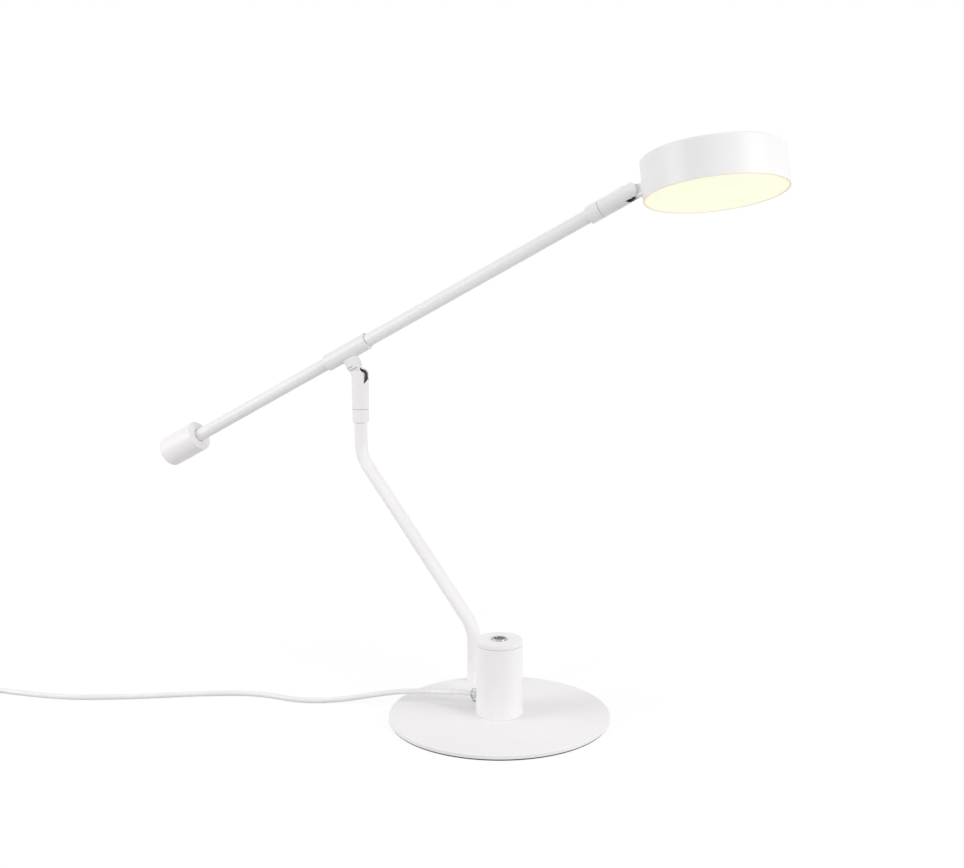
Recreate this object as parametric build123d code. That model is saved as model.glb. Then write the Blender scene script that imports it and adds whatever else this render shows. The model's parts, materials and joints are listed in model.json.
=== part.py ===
from build123d import *
import math
import os

# Counterweight balance desk lamp, in millimetres. The origin is the centre of the base on the
# table, +Z is up, and the arm's vertical plane is parallel to XZ with the lamp head towards +X.

# ---------------------------------------------------------------- base and control housing
base_diameter = 200.0
plate_thickness = 3.6
rim_round = 0.8
pad_thickness = 1.4
pad_inset = 1.0
housing_diameter = 42.0
housing_wall = 1.5
housing_floor = 4.0
housing_height = 65.1
cap_gap = 0.3
cap_height = 4.1
cap_wall = 2.0
cap_round = 0.4
cap_skirt_length = 5.5
fit_clearance = 0.05
sliding_gap = 0.08
loose_clearance = 0.2
housing_screw_circle = 12.0
housing_screw_radius = 2.0

# ---------------------------------------------------------------- push button and electronics
bezel_flange_radius = 7.35
bezel_height = 1.0
bezel_barrel_radius = 6.2
bezel_length = 6.4
bezel_nut_across = 15.0
bezel_nut_thickness = 2.4
button_radius = 5.1
button_travel = 0.8
button_recess = 0.5
button_dish_depth = 0.5
board_edge_gap = 2.5
board_thickness = 1.6
board_drop = 11.0
board_boss_inset = 3.5
board_boss_radius = 2.6
board_screw_radius = 1.2
switch_size = 6.2
switch_height = 3.6
plunger_radius = 1.7
driver_width_share = 1.44
driver_height = 34.0
driver_thickness = 1.6

# ---------------------------------------------------------------- stem
tube_diameter = 13.0
tube_wall = 1.5
foot_inset = 8.0
foot_azimuth = 128.2
swivel_x = -197.1
swivel_y = 109.9
stem_low_bend = 57.0
stem_high_bend = 209.2
stem_bend_radius = 33.0
seam_height = 257.5

# ---------------------------------------------------------------- knuckles, one at each end
knuckle_wall = 2.0
collar_length = 13.2
collar_floor = 2.5
collar_insert = 6.0
seam_gap = 0.35
pivot_rise = 31.0
slot_width = 10.0
slot_floor_radius = 9.3
tongue_thickness = 9.0
tongue_half_width = 5.2
friction_washer_thickness = 0.4
pin_radius = 2.5
pin_blind_wall = 1.2
spindle_radius = 3.0
spindle_bore = 1.9
spindle_above = 8.0
spindle_below = 6.9
spindle_nut_across = 9.0
spindle_nut_thickness = 3.0
stop_circle = 5.0
stop_peg_radius = 0.8
stop_lug_half_angle = 5.8
wire_diameter = 2.6
wire_clearance = 0.35
wire_bush_wall = 0.7

# ---------------------------------------------------------------- arm and counterweight
arm_elevation = 28.1
arm_rise = 29.0
arm_seam = 301.0
arm_tail = 240.0
sleeve_length = 52.0
sleeve_lip_depth = 1.5
sleeve_lip_gap = 0.8
boss_radius = 8.0
boss_reach = 15.6
sleeve_screw_radius = 2.0
sleeve_screw_place = -18.0
weight_screw_radius = 2.5
tongue_gap = 0.9
tongue_shoulder = 1.3
stub_radius = 5.5
stub_length = 6.0
weight_diameter = 32.0
weight_length = 45.0
weight_near = 205.0
weight_floor = 8.0
weight_bore_gap = 0.4
weight_far_round = 3.5
weight_near_round = 0.8

# ---------------------------------------------------------------- lamp head
head_roll = 12.16
head_tilt = 17.24
head_diameter = 128.0
head_height = 36.0
head_wall = 1.0
head_round = 1.5
neck_length = 15.65
neck_shoulder = 10.2
neck_stub_length = 5.3
neck_nut_across = 13.0
neck_nut_thickness = 3.0
diffuser_thickness = 1.9
diffuser_ledge = 0.7
led_board_share = 0.72
led_board_thickness = 1.0
led_board_height = 8.0
led_rings = ((0.35, 8), (0.76, 16))
led_size = 3.2
led_screw_radius = 1.4
led_screw_inset = 6.0

# ---------------------------------------------------------------- cord, grip and plug
cord_diameter = 5.0
grip_height = 19.5
grip_flange_radius = 7.25
grip_flange_thickness = 1.4
grip_nose_length = 7.0
grip_barrel_radius = 4.9
grip_screw_inset = 3.5
coil_turn_gap = 0.5
coil_first_radius = 38.5
coil_half_turns_in = 6
coil_half_turns_out = 5
tie_thickness = 0.5
tie_width = 9.0
coil_lift = tie_thickness + 0.1
plug_width = 35.0
plug_thickness = 13.7
plug_length = 34.0
plug_nose_length = 12.0
prong_radius = 2.0
prong_length = 19.0
prong_sleeve = 10.0
prong_core_radius = 1.5
prong_root = 8.0
prong_tip_round = 1.2
prong_spacing = 19.0

# The free cord from where it leaves the grip to where the coil starts: position, and how far its
# underside is above the table.
cord_route = [
    (-53.5, 0.2, 14.5),
    (-74.0, 1.4, 12.1),
    (-96.0, -5.2, 10.9),
    (-113.0, -11.2, 8.5),
    (-129.0, -13.4, 4.5),
    (-147.0, -19.6, 1.1),
    (-170.0, -32.4, 0.1),
    (-192.5, -38.2, 0.0),
    (-214.0, -37.0, 0.0),
    (-238.0, -39.2, 0.0),
    (-262.0, -48.8, 0.0),
    (-290.0, -63.0, 0.0),
    (-320.0, -81.6, 0.0),
    (-352.0, -98.6, 0.0),
    (-386.0, -114.6, 0.0),
    (-422.0, -122.8, 0.0),
    (-462.0, -127.0, 0.1),
    (-496.0, -130.0, coil_lift),
    (-513.0, -133.2, coil_lift),
]

# ---------------------------------------------------------------- worked out from the above
base_top = pad_thickness + plate_thickness
foot_circle = base_diameter / 2 - foot_inset
housing_top = base_top + housing_height
cap_bottom = housing_top + cap_gap
cap_top = cap_bottom + cap_height
housing_radius = housing_diameter / 2
housing_bore = housing_radius - housing_wall
board_top = housing_top - board_drop
board_radius = housing_bore - board_edge_gap
plunger_top = board_top + switch_height + button_travel + 0.6
board_boss_circle = board_radius - board_boss_inset
driver_width = driver_width_share * housing_bore
tube_radius = tube_diameter / 2
tube_bore = tube_radius - tube_wall
knuckle_radius = tube_radius + knuckle_wall
wire_radius = wire_diameter / 2
wire_way_radius = wire_radius + 1.5
cord_radius = cord_diameter / 2
coil_pitch = cord_diameter + coil_turn_gap
nose_end = -housing_radius - grip_flange_thickness - grip_nose_length
head_radius = head_diameter / 2
head_bore = head_radius - head_wall
head_reach = head_radius + neck_length
led_board_radius = led_board_share * head_radius
led_screw_circle = led_board_radius - led_screw_inset
foot_x = foot_circle * math.cos(math.radians(foot_azimuth))
foot_y = foot_circle * math.sin(math.radians(foot_azimuth))
under_wire_height = pad_thickness + wire_radius + fit_clearance

arm_angle = math.radians(arm_elevation)
along_arm = Vector(math.cos(arm_angle), 0, math.sin(arm_angle))
above_arm = Vector(-math.sin(arm_angle), 0, math.cos(arm_angle))
lower_seam = Vector(swivel_x, swivel_y, seam_height)
lower_pivot = lower_seam + Vector(0, 0, pivot_rise)
arm_middle = lower_pivot + above_arm * arm_rise
upper_seam = arm_middle + along_arm * arm_seam
upper_pivot = upper_seam + along_arm * pivot_rise
fork_down = (above_arm * -1).rotate(Axis((0, 0, 0), along_arm), -head_roll)
fork_across = along_arm.cross(fork_down)
neck_way = along_arm.rotate(Axis((0, 0, 0), fork_across), head_tilt)
head_down = fork_down.rotate(Axis((0, 0, 0), fork_across), head_tilt)
head_middle = upper_pivot + neck_way * head_reach

# Local frames. A fork's Z runs from its seam to its pivot, a tongue's from the pivot to its boss;
# X is the side the wire comes out of and Y is the pivot's axis.
lower_fork_frame = Plane(origin=lower_seam, x_dir=(1, 0, 0), z_dir=(0, 0, 1)).location
tongue_frame = Plane(origin=lower_pivot, x_dir=along_arm, z_dir=above_arm).location
arm_frame = Plane(origin=arm_middle, x_dir=above_arm * -1, z_dir=along_arm).location
upper_fork_frame = Plane(origin=upper_seam, x_dir=fork_down, z_dir=along_arm).location
neck_frame = Plane(origin=upper_pivot, x_dir=head_down, z_dir=neck_way).location
head_frame = Plane(origin=head_middle, x_dir=neck_way, z_dir=head_down * -1).location


# ---------------------------------------------------------------- helpers
def rod(radius, low, high, x=0.0, y=0.0):
    """Round bar along Z from low to high."""
    return Pos(x, y, low) * Cylinder(
        radius, high - low, align=(Align.CENTER, Align.CENTER, Align.MIN)
    )


def ring(outer, inner, low, high, x=0.0, y=0.0):
    """Round tube along Z from low to high."""
    return rod(outer, low, high, x, y) - rod(inner, low - 1, high + 1, x, y)


def cross_rod(radius, low, high, x=0.0, z=0.0):
    """Round bar along Y from low to high."""
    return Pos(x, 0, z) * Rotation(-90, 0, 0) * rod(radius, low, high)


def side_rod(radius, low, high, y=0.0, z=0.0):
    """Round bar along X from low to high."""
    return Pos(0, y, z) * Rotation(0, 90, 0) * rod(radius, low, high)


def block(low, high):
    """Box between two corners."""
    size = [h - l for l, h in zip(low, high)]
    return Pos(*low) * Box(*size, align=(Align.MIN, Align.MIN, Align.MIN))


def hex_bar(across, low, high):
    """Six-sided bar along Z, with its size across the flats."""
    outline = RegularPolygon(across / 2, 6, major_radius=False)
    return Pos(0, 0, low) * extrude(outline, high - low)


def on_circle(radius, count, start=0.0):
    """Points spread evenly on a circle."""
    angles = [math.radians(start + 360 * i / count) for i in range(count)]
    return [(radius * math.cos(a), radius * math.sin(a)) for a in angles]


def together(shapes):
    """Separate solids that are kept as one group."""
    return Compound([s for shape in shapes for s in shape.solids()])


def corner_radii(points, share=0.45, least=0.0):
    """The largest arc each corner of a route has room for."""
    radii = []
    for a, b, c in zip(points, points[1:], points[2:]):
        one, two = Vector(*b) - Vector(*a), Vector(*c) - Vector(*b)
        half = math.radians(one.get_angle(two)) / 2
        radii.append(max(least, share * min(one.length, two.length) / math.tan(half)))
    return radii


def routed(points, radius, radii=None):
    """Round solid along straight runs joined by tangent arcs."""
    path = FilletPolyline(*points, radius=radii or corner_radii(points))
    return swept(path, radius)


def swept(path, radius):
    """Round solid along a path."""
    return sweep(Plane(origin=path @ 0, z_dir=path % 0) * Circle(radius), path=path)


def countersunk(shank_radius, head_radius, length):
    """Screw pointing up, with its flat head's face at zero and a cross-shaped recess."""
    cone_height = head_radius - shank_radius
    cone = Pos(0, 0, cone_height / 2) * Cone(head_radius, shank_radius, cone_height)
    recess = block((-head_radius / 2, -0.3, -0.1), (head_radius / 2, 0.3, 0.8))
    return cone + rod(shank_radius, 0, length) - recess - Rotation(0, 0, 90) * recess


# ---------------------------------------------------------------- base
wire_turn = 4.0
under_wire_route = [
    (0, 0, base_top + 16),
    (0, 0, under_wire_height),
    (foot_x, foot_y, under_wire_height),
    (foot_x, foot_y, stem_low_bend),
    (swivel_x, swivel_y, stem_high_bend),
    (swivel_x, swivel_y, seam_height),
]
stem_wire_radii = [wire_turn, wire_turn, stem_bend_radius, stem_bend_radius]


def housing_screw_points():
    return on_circle(housing_screw_circle, 3, foot_azimuth + 60)


def wire_groove():
    """Channel under the plate from the housing to the stem's foot."""
    width = wire_diameter + 2 * wire_clearance
    depth = under_wire_height + wire_radius + 0.1
    channel = block((0, -width / 2, 0), (foot_circle, width / 2, depth))
    return Rotation(0, 0, foot_azimuth) * channel


def base_plate():
    plate = rod(base_diameter / 2, pad_thickness, base_top)
    plate = fillet(plate.edges().group_by(Axis.Z)[-1], rim_round)
    plate -= rod(wire_turn + wire_radius, 0, base_top + 1)
    plate -= rod(tube_radius + fit_clearance, 0, base_top + 1, foot_x, foot_y)
    plate -= wire_groove()
    for x, y in housing_screw_points():
        plate -= rod(housing_screw_radius + 0.1, 0, base_top + 1, x, y)
        head = housing_screw_radius * 2
        sink = Cone(head + 0.2, 0.2, head)
        plate -= Pos(x, y, pad_thickness + head / 2) * sink
    return plate


def base_pad():
    return rod(base_diameter / 2 - pad_inset, 0, pad_thickness)


def housing():
    shell = rod(housing_radius, base_top, housing_top)
    shell -= rod(housing_bore, base_top + housing_floor, housing_top + 1)
    shell -= rod(wire_way_radius, 0, base_top + housing_floor + 1)
    for x, y in housing_screw_points():
        shell -= rod(housing_screw_radius + 0.02, 0, base_top + housing_floor + 1, x, y)
    grip_hole = side_rod(grip_barrel_radius + 0.1, -housing_radius - 1, -housing_bore + 1,
                         z=grip_height)
    return shell - grip_hole


def housing_screws():
    screw = countersunk(housing_screw_radius, housing_screw_radius * 2 - 0.2, 7.4)
    return together(Pos(x, y, pad_thickness + 0.1) * screw for x, y in housing_screw_points())


def housing_cap():
    skirt_radius = housing_bore - fit_clearance
    cap = rod(housing_radius, cap_bottom, cap_top)
    cap = fillet(cap.edges().group_by(Axis.Z)[-1], cap_round)
    cap += rod(housing_radius - cap_round, housing_top, cap_bottom)
    cap += rod(skirt_radius, housing_top - cap_skirt_length, housing_top)
    cap -= rod(skirt_radius - housing_wall, housing_top - cap_skirt_length - 1, cap_top - cap_wall)
    cap -= rod(bezel_barrel_radius + 0.1, housing_top, cap_top + 1)
    for x, y in on_circle(board_boss_circle, 3, 30):
        cap += ring(board_boss_radius, board_screw_radius + fit_clearance, board_top,
                    cap_top - cap_wall, x, y)
    return cap


def button_bezel():
    bezel = rod(bezel_flange_radius, cap_top, cap_top + bezel_height)
    bezel = fillet(bezel.edges().group_by(Axis.Z)[-1], 0.5)
    bezel += rod(bezel_barrel_radius, cap_top - bezel_length, cap_top)
    return bezel - rod(button_radius + sliding_gap, cap_top - bezel_length - 1, cap_top + 5)


def bezel_nut():
    underside = cap_top - cap_wall
    nut = hex_bar(bezel_nut_across, underside - bezel_nut_thickness, underside)
    return nut - rod(bezel_barrel_radius + 0.02, underside - 5, underside + 1)


def push_button():
    """Dished cap with a collar under the bezel that stops it coming out."""
    top = cap_top + bezel_height - button_recess
    low = cap_top - bezel_length - 0.05
    head = rod(button_radius, low, top)
    head = fillet(head.edges().group_by(Axis.Z)[-1], 0.3)
    dish_radius = (button_radius**2 + button_dish_depth**2) / (2 * button_dish_depth)
    head -= Pos(0, 0, top - button_dish_depth + dish_radius) * Sphere(dish_radius)
    return head + rod(button_radius + 0.8, low - 0.8, low) + rod(2.2, plunger_top, low)


def control_board():
    board = rod(board_radius, board_top - board_thickness, board_top)
    for x, y in on_circle(board_boss_circle, 3, 30):
        board -= rod(board_screw_radius + loose_clearance, board_top - 5, board_top + 1, x, y)
    return board


def board_screws():
    low = board_top - board_thickness
    screw = rod(2.3, low - 1.6, low) + rod(board_screw_radius, low, low + 5)
    screw -= block((-2.3, -0.3, low - 1.7), (2.3, 0.3, low - 1.0))
    return together(Pos(x, y, 0) * screw for x, y in on_circle(board_boss_circle, 3, 30))


def tact_switch():
    half = switch_size / 2
    body = block((-half, -half, board_top), (half, half, board_top + switch_height))
    return body - rod(plunger_radius + sliding_gap, board_top + 1.2, board_top + switch_height + 1)


def switch_plunger():
    return rod(plunger_radius, board_top + 1.2 + button_travel + 0.1, plunger_top)


driver_low = base_top + housing_floor + 4.0
driver_plane = 3.0
mains_terminal_y = -7.0
terminal_low = driver_low + 16.0
terminal_top = driver_low + 23.0


def driver_cradle():
    low = base_top + housing_floor
    cradle = rod(housing_bore - loose_clearance, low, driver_low)
    slot_low = (driver_plane - 0.1, -driver_width / 2 - 0.2, low + 1.5)
    slot_high = (driver_plane + driver_thickness + 0.1, driver_width / 2 + 0.2, driver_low + 1)
    return cradle - block(slot_low, slot_high) - rod(wire_way_radius, 0, driver_low + 1)


def driver_board():
    low, high = driver_low - 2.4, driver_low + driver_height
    half = driver_width / 2
    return block((driver_plane, -half, low), (driver_plane + driver_thickness, half, high))


def driver_parts():
    """Transformer, two capacitors, a choke and two terminal blocks on the board."""
    front = driver_plane + driver_thickness
    core = block((front, -7, driver_low + 8), (front + 10, 7, driver_low + 22))
    choke = side_rod(4.0, front, front + 7, y=-8.0, z=driver_low + 28.5)
    can = side_rod(3.5, front, front + 9, y=8.0, z=driver_low + 28.5)
    mains_block = block(
        (-5, mains_terminal_y - 5, terminal_low), (driver_plane, mains_terminal_y + 5, terminal_top)
    )
    lamp_block = block((-5, 3, terminal_low), (driver_plane, 12, terminal_top))
    return together([core, choke, can, mains_block, lamp_block])


# ---------------------------------------------------------------- stem
def stem_tube():
    foot = (foot_x, foot_y, pad_thickness)
    low = (foot_x, foot_y, stem_low_bend)
    high = (swivel_x, swivel_y, stem_high_bend)
    end = (swivel_x, swivel_y, seam_height - pivot_rise / 4)
    route = [foot, low, high, end]
    radii = [stem_bend_radius, stem_bend_radius]
    tube = routed(route, tube_radius, radii) - routed(route, tube_bore, radii)
    return tube - wire_groove()


# ---------------------------------------------------------------- knuckle pieces
# Each is drawn in its fork's frame: the seam at zero, the pivot above it, the tube below.
mouth_x = 5.0
mouth_z = pivot_rise - math.sqrt(slot_floor_radius**2 - mouth_x**2)
channel_foot = 12.0


def knuckle_collar():
    low, top = -collar_length - seam_gap, -seam_gap
    tube_end = low + collar_insert
    collar = rod(knuckle_radius, low, top)
    collar = chamfer(collar.edges().group_by(Axis.Z)[0], 0.3)
    collar -= rod(tube_radius + fit_clearance, low - 1, tube_end)
    collar -= rod(tube_bore + 0.6, tube_end - 1, top - collar_floor)
    collar -= rod(spindle_radius + fit_clearance, low, top + 1)
    groove = ring(stop_circle + 0.9, stop_circle - 0.9, top - 1.2, top + 1)
    lug_width = 2 * stop_circle * math.sin(math.radians(stop_lug_half_angle))
    lug = block((0, -lug_width / 2, top - 2), (knuckle_radius, lug_width / 2, top + 2))
    return collar - (groove - lug)


def swivel_washer():
    return ring(stop_circle + 2.8, stop_circle + 1.1, -seam_gap, 0)


def spindle():
    return ring(spindle_radius, spindle_bore, -spindle_below, spindle_above)


def spindle_nut():
    top = -seam_gap - collar_floor - 0.5
    nut = hex_bar(spindle_nut_across, top - spindle_nut_thickness, top)
    washer = rod(tube_bore + 0.3, top, top + 0.5)
    return nut + washer - rod(spindle_radius + 0.02, -pivot_rise, 0)


def mouth_frame():
    way = Vector(mouth_x, 0, mouth_z - channel_foot)
    return Plane(origin=(mouth_x, 0, mouth_z), x_dir=(0, 1, 0), z_dir=way).location


def wire_bush():
    """Bare metal bush that lines the hole where the wire leaves the fork."""
    bore = wire_radius + 0.1
    return mouth_frame() * ring(bore + wire_bush_wall, bore, -3.0, 0.5)


def fork(wire_route):
    """Slotted knuckle with a peg below it that runs in the collar's groove and stops the swivel."""
    body = rod(knuckle_radius, 0, pivot_rise)
    dome = rod(knuckle_radius, pivot_rise, pivot_rise + knuckle_radius)
    body += dome & cross_rod(knuckle_radius, -knuckle_radius, knuckle_radius, z=pivot_rise)
    half = slot_width / 2
    slot = cross_rod(slot_floor_radius, -half, half, z=pivot_rise)
    reach = 2 * knuckle_radius
    slot += block((-reach, -half, pivot_rise), (reach, half, pivot_rise + reach))
    body -= slot
    body -= cross_rod(
        pin_radius + 0.01, pin_blind_wall - knuckle_radius, knuckle_radius + 1, z=pivot_rise
    )
    body -= rod(spindle_radius + 0.01, -1, spindle_above)
    body += rod(stop_peg_radius, -seam_gap - 1.0, 0, x=-stop_circle)
    body -= mouth_frame() * rod(wire_radius + 0.1 + wire_bush_wall + 0.01, -3.0, 3.0)
    return body - routed(wire_route, wire_radius + wire_clearance)


def pivot_pin():
    return cross_rod(
        pin_radius, pin_blind_wall - knuckle_radius + 0.1, knuckle_radius - 0.5, z=pivot_rise
    )


def friction_washers():
    half = slot_width / 2
    outer = tongue_half_width + 0.8
    one = cross_rod(outer, half - friction_washer_thickness, half, z=pivot_rise)
    two = cross_rod(outer, -half, friction_washer_thickness - half, z=pivot_rise)
    bore = cross_rod(pin_radius + 0.1, -half - 1, half + 1, z=pivot_rise)
    return together([one - bore, two - bore])


def tongue_blade(reach):
    """Flat blade from the pivot along its own Z, with a round end."""
    half = tongue_thickness / 2
    blade = cross_rod(tongue_half_width, -half, half)
    blade += block((-tongue_half_width, -half, 0), (tongue_half_width, half, reach))
    return blade - cross_rod(pin_radius + fit_clearance, -half - 1, half + 1)


# The wire crosses each pivot on the X side. Lower joint first, in the fork's frame.
boss_face = arm_rise - boss_reach
turn_rise = 11.0
lower_turn = Vector(
    -turn_rise * math.sin(arm_angle), 0, pivot_rise + turn_rise * math.cos(arm_angle)
)
lower_wire_end = Vector(
    -boss_face * math.sin(arm_angle), 0, pivot_rise + boss_face * math.cos(arm_angle)
)
lower_wire_route = [
    (0, 0, 0),
    (0, 0, channel_foot),
    (6.5, 0, 26.5),
    (7.3, 0, 33.5),
    (5.8, 0, 38.8),
    (lower_turn.X, 0, lower_turn.Z),
    (lower_wire_end.X, 0, lower_wire_end.Z),
]
neck_angle = math.radians(head_tilt)
upper_turn = 13.5
neck_wire_start = 18.0
upper_wire_route = [
    (0, 0, 0),
    (0, 0, channel_foot),
    (6.6, 0, 26.7),
    (8.5, 0, 35.5),
    (upper_turn * math.sin(neck_angle), 0, pivot_rise + upper_turn * math.cos(neck_angle)),
    (
        neck_wire_start * math.sin(neck_angle),
        0,
        pivot_rise + neck_wire_start * math.cos(neck_angle),
    ),
]


def arm_tongue():
    """Blade, round shoulder and the hollow stub that screws into the sleeve's boss."""
    shoulder_top = boss_face - tongue_gap
    piece = tongue_blade(shoulder_top)
    piece += rod(boss_radius, shoulder_top - tongue_shoulder, shoulder_top)
    piece += rod(stub_radius, shoulder_top, boss_face + stub_length)
    piece -= rod(wire_radius + wire_clearance, turn_rise, boss_face + stub_length + 1)
    channel = routed(lower_wire_route, wire_radius + wire_clearance)
    return tongue_frame * piece - lower_fork_frame * channel


def neck():
    """Blade and round boss that meets the drum's wall, with a hollow stub through the wall."""
    wall = head_reach - head_radius
    stub_end = wall + head_wall + neck_stub_length
    piece = tongue_blade(neck_shoulder + 1)
    boss = rod(boss_radius, neck_shoulder, wall + 3)
    boss = fillet(boss.edges().group_by(Axis.Z)[0], 0.5)
    drum = Pos(0, 0, head_reach) * Rotation(0, 90, 0) * Cylinder(head_radius, 3 * boss_radius)
    piece = piece + boss - drum
    piece += rod(stub_radius, wall - 1, stub_end)
    piece -= rod(wire_radius + wire_clearance, upper_turn, stub_end + 1)
    channel = routed(upper_wire_route, wire_radius + wire_clearance)
    return neck_frame * piece - upper_fork_frame * channel


def neck_nut():
    low = head_reach - head_radius + head_wall + 0.7
    nut = hex_bar(neck_nut_across, low, low + neck_nut_thickness)
    return nut - rod(stub_radius + 0.02, 0, head_reach)


# ---------------------------------------------------------------- arm, in the arm's frame
tube_end = arm_seam - seam_gap - collar_length + collar_insert
weight_middle = weight_near + weight_length / 2
wire_hole = wire_radius + 0.6


def arm_tube():
    tube = ring(tube_radius, tube_bore, -arm_tail, tube_end)
    tube -= side_rod(wire_hole, 0, tube_radius + 1)
    tube -= cross_rod(sleeve_screw_radius + 0.1, 0, tube_radius + 1, z=sleeve_screw_place)
    return tube - cross_rod(weight_screw_radius + 0.1, 0, tube_radius + 1, z=-weight_middle)


def arm_sleeve():
    half = sleeve_length / 2
    bore_floor = arm_rise - boss_face - stub_length - 0.2
    sleeve = ring(knuckle_radius, tube_radius + fit_clearance, -half, half)
    boss = side_rod(boss_radius, 0, boss_reach)
    boss -= rod(tube_radius + fit_clearance, -half, half)
    sleeve += boss - side_rod(wire_hole, 0, 20)
    sleeve -= side_rod(wire_hole, 0, 20)
    sleeve -= side_rod(stub_radius + fit_clearance, bore_floor, 20)
    for end in (-half, half):
        inner, outer = sorted((end, end - math.copysign(sleeve_lip_depth, end)))
        sleeve -= rod(tube_radius + sleeve_lip_gap, inner, outer)
    return sleeve - cross_rod(
        sleeve_screw_radius + 0.02, 0, knuckle_radius + 1, z=sleeve_screw_place
    )


def sleeve_screw():
    top = knuckle_radius - 0.5
    screw = cross_rod(sleeve_screw_radius, tube_bore + 0.4, top, z=sleeve_screw_place)
    socket = Rotation(90, 0, 0) * hex_bar(2.0, 0, 1.8)
    return screw - Pos(0, knuckle_radius, sleeve_screw_place) * socket


def counterweight():
    far, near = -weight_near - weight_length, -weight_near
    weight = rod(weight_diameter / 2, far, near)
    weight = fillet(weight.edges().group_by(Axis.Z)[0], weight_far_round)
    weight = fillet(weight.edges().group_by(Axis.Z)[-1], weight_near_round)
    weight -= rod(tube_radius + weight_bore_gap, far + weight_floor, near + 1)
    return weight - cross_rod(weight_screw_radius + 0.02, 0, weight_diameter, z=-weight_middle)


def counterweight_screw():
    top = weight_diameter / 2 - 1.0
    screw = cross_rod(weight_screw_radius, tube_bore + 0.4, top, z=-weight_middle)
    socket = Rotation(90, 0, 0) * hex_bar(2.5, 0, 3.5)
    return screw - Pos(0, weight_diameter / 2, -weight_middle) * socket


def arm_wire():
    return routed([(boss_reach, 0, 0), (0, 0, 0), (0, 0, arm_seam)], wire_radius, [wire_turn])


# ---------------------------------------------------------------- lamp head, in the head's frame
half_height = head_height / 2
board_boss_low = led_board_height + led_board_thickness


def head_shell():
    shell = rod(head_radius, -half_height, half_height)
    shell = fillet(shell.edges().group_by(Axis.Z)[-1], head_round)
    shell -= rod(head_bore, -half_height - 1, half_height - head_wall)
    ledge_low = -half_height + diffuser_thickness + 0.2
    shell += ring(head_bore + 0.2, head_bore - diffuser_ledge, ledge_low, ledge_low + 1)
    for x, y in on_circle(led_screw_circle, 3):
        shell += ring(3.0, led_screw_radius + fit_clearance, board_boss_low,
                      half_height - head_wall + 0.2, x, y)
    return shell - side_rod(stub_radius + 0.05, -head_radius - 1, -head_bore + 3)


def diffuser():
    disc = rod(head_bore - 0.2, -half_height + 0.1, -half_height + 0.1 + diffuser_thickness)
    return fillet(disc.edges().group_by(Axis.Z)[0], 0.4)


def reflector():
    """White cone between the circuit board and the diffuser."""
    low = -half_height + diffuser_thickness + 0.4
    high = led_board_height - 0.3
    wide = head_bore - diffuser_ledge - 0.2
    middle = (low + high) / 2
    outer = Pos(0, 0, middle) * Cone(wide, led_board_radius, high - low)
    inner = Pos(0, 0, middle) * Cone(wide - 1.2, led_board_radius - 1.2, high - low)
    return outer - inner


def led_board():
    board = rod(led_board_radius, led_board_height, board_boss_low)
    for x, y in on_circle(led_screw_circle, 3):
        board -= rod(led_screw_radius + 0.3, led_board_height - 1, board_boss_low + 1, x, y)
    return board


def led_chips():
    chip = block((-led_size / 2, -led_size / 2, led_board_height - 0.8),
                 (led_size / 2, led_size / 2, led_board_height))
    points = [
        p
        for share, count in led_rings
        for p in on_circle(share * led_board_radius, count, 11.0)
    ]
    return together(Pos(x, y, 0) * chip for x, y in points)


def led_board_screws():
    low = led_board_height
    screw = rod(2.6, low - 1.8, low) + rod(led_screw_radius, low, low + 6.5)
    screw -= block((-2.6, -0.35, low - 1.9), (2.6, 0.35, low - 1.1))
    return together(Pos(x, y, 0) * screw for x, y in on_circle(led_screw_circle, 3))


def head_wire():
    start = neck_wire_start - head_reach
    turn = 10.2 - head_radius
    route = [
        (start, 0, 0),
        (turn, 0, 0),
        (turn + 0.4, 0, 12.0),
        (9.0 - led_board_radius, 3.0, 12.6),
        (16.0 - led_board_radius, 4.0, board_boss_low + wire_radius),
    ]
    return routed(route, wire_radius)


# ---------------------------------------------------------------- cord
barrel_end = 5.0 - housing_bore
sheath_end = barrel_end + 3.5


def cord_grip():
    """Clear bush: a flange that hugs the housing, a barrel through its wall and a short nose."""
    flange_face = -housing_radius - grip_flange_thickness
    grip = side_rod(grip_flange_radius, flange_face, -housing_radius + 2, z=grip_height)
    grip = fillet(grip.edges().group_by(Axis.X)[0], 0.5)
    grip -= rod(housing_radius + fit_clearance, 0, housing_top)
    nose = Cone(5.2, 4.3, grip_nose_length)
    middle = flange_face - grip_nose_length / 2
    grip += Pos(middle, 0, grip_height) * Rotation(0, -90, 0) * nose
    grip += side_rod(grip_barrel_radius, flange_face, barrel_end, z=grip_height)
    grip -= side_rod(cord_radius + fit_clearance, nose_end - 1, 0, z=grip_height)
    return grip - Pos(flange_face - grip_screw_inset, 0, 0) * rod(1.15, 0, grip_height)


def grip_screw():
    """Small slotted screw that clamps the cord in the nose."""
    low = grip_height - 7.6
    screw = rod(1.9, low, low + 1.6) + rod(1.1, low, grip_height - cord_radius - 0.1)
    screw -= block((-2, -0.25, low - 0.1), (2, 0.25, low + 0.7))
    return Pos(-housing_radius - grip_flange_thickness - grip_screw_inset, 0, 0) * screw


def grip_nut():
    far = barrel_end - 3.4
    nut = Rotation(0, 0, 30) * hex_bar(12.0, far, far + 3)
    nut -= rod(grip_barrel_radius + 0.02, far - 1, far + 4)
    nut = Rotation(0, 90, 0) * nut
    return Pos(0, 0, grip_height) * nut


def mains_tail():
    """The cord's end inside the housing: the sheath and its two conductors to the terminals."""
    pieces = [side_rod(cord_radius, nose_end, sheath_end, z=grip_height)]
    for side in (-1, 1):
        terminal_y = mains_terminal_y + 2.5 * side
        route = [
            (sheath_end, 1.2 * side, grip_height),
            (sheath_end + 2.5, 1.2 * side, grip_height),
            (-3.0, terminal_y, terminal_low - 5.5),
            (-3.0, terminal_y, terminal_low),
        ]
        pieces.append(routed(route, 0.9))
    return together(pieces)


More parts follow.
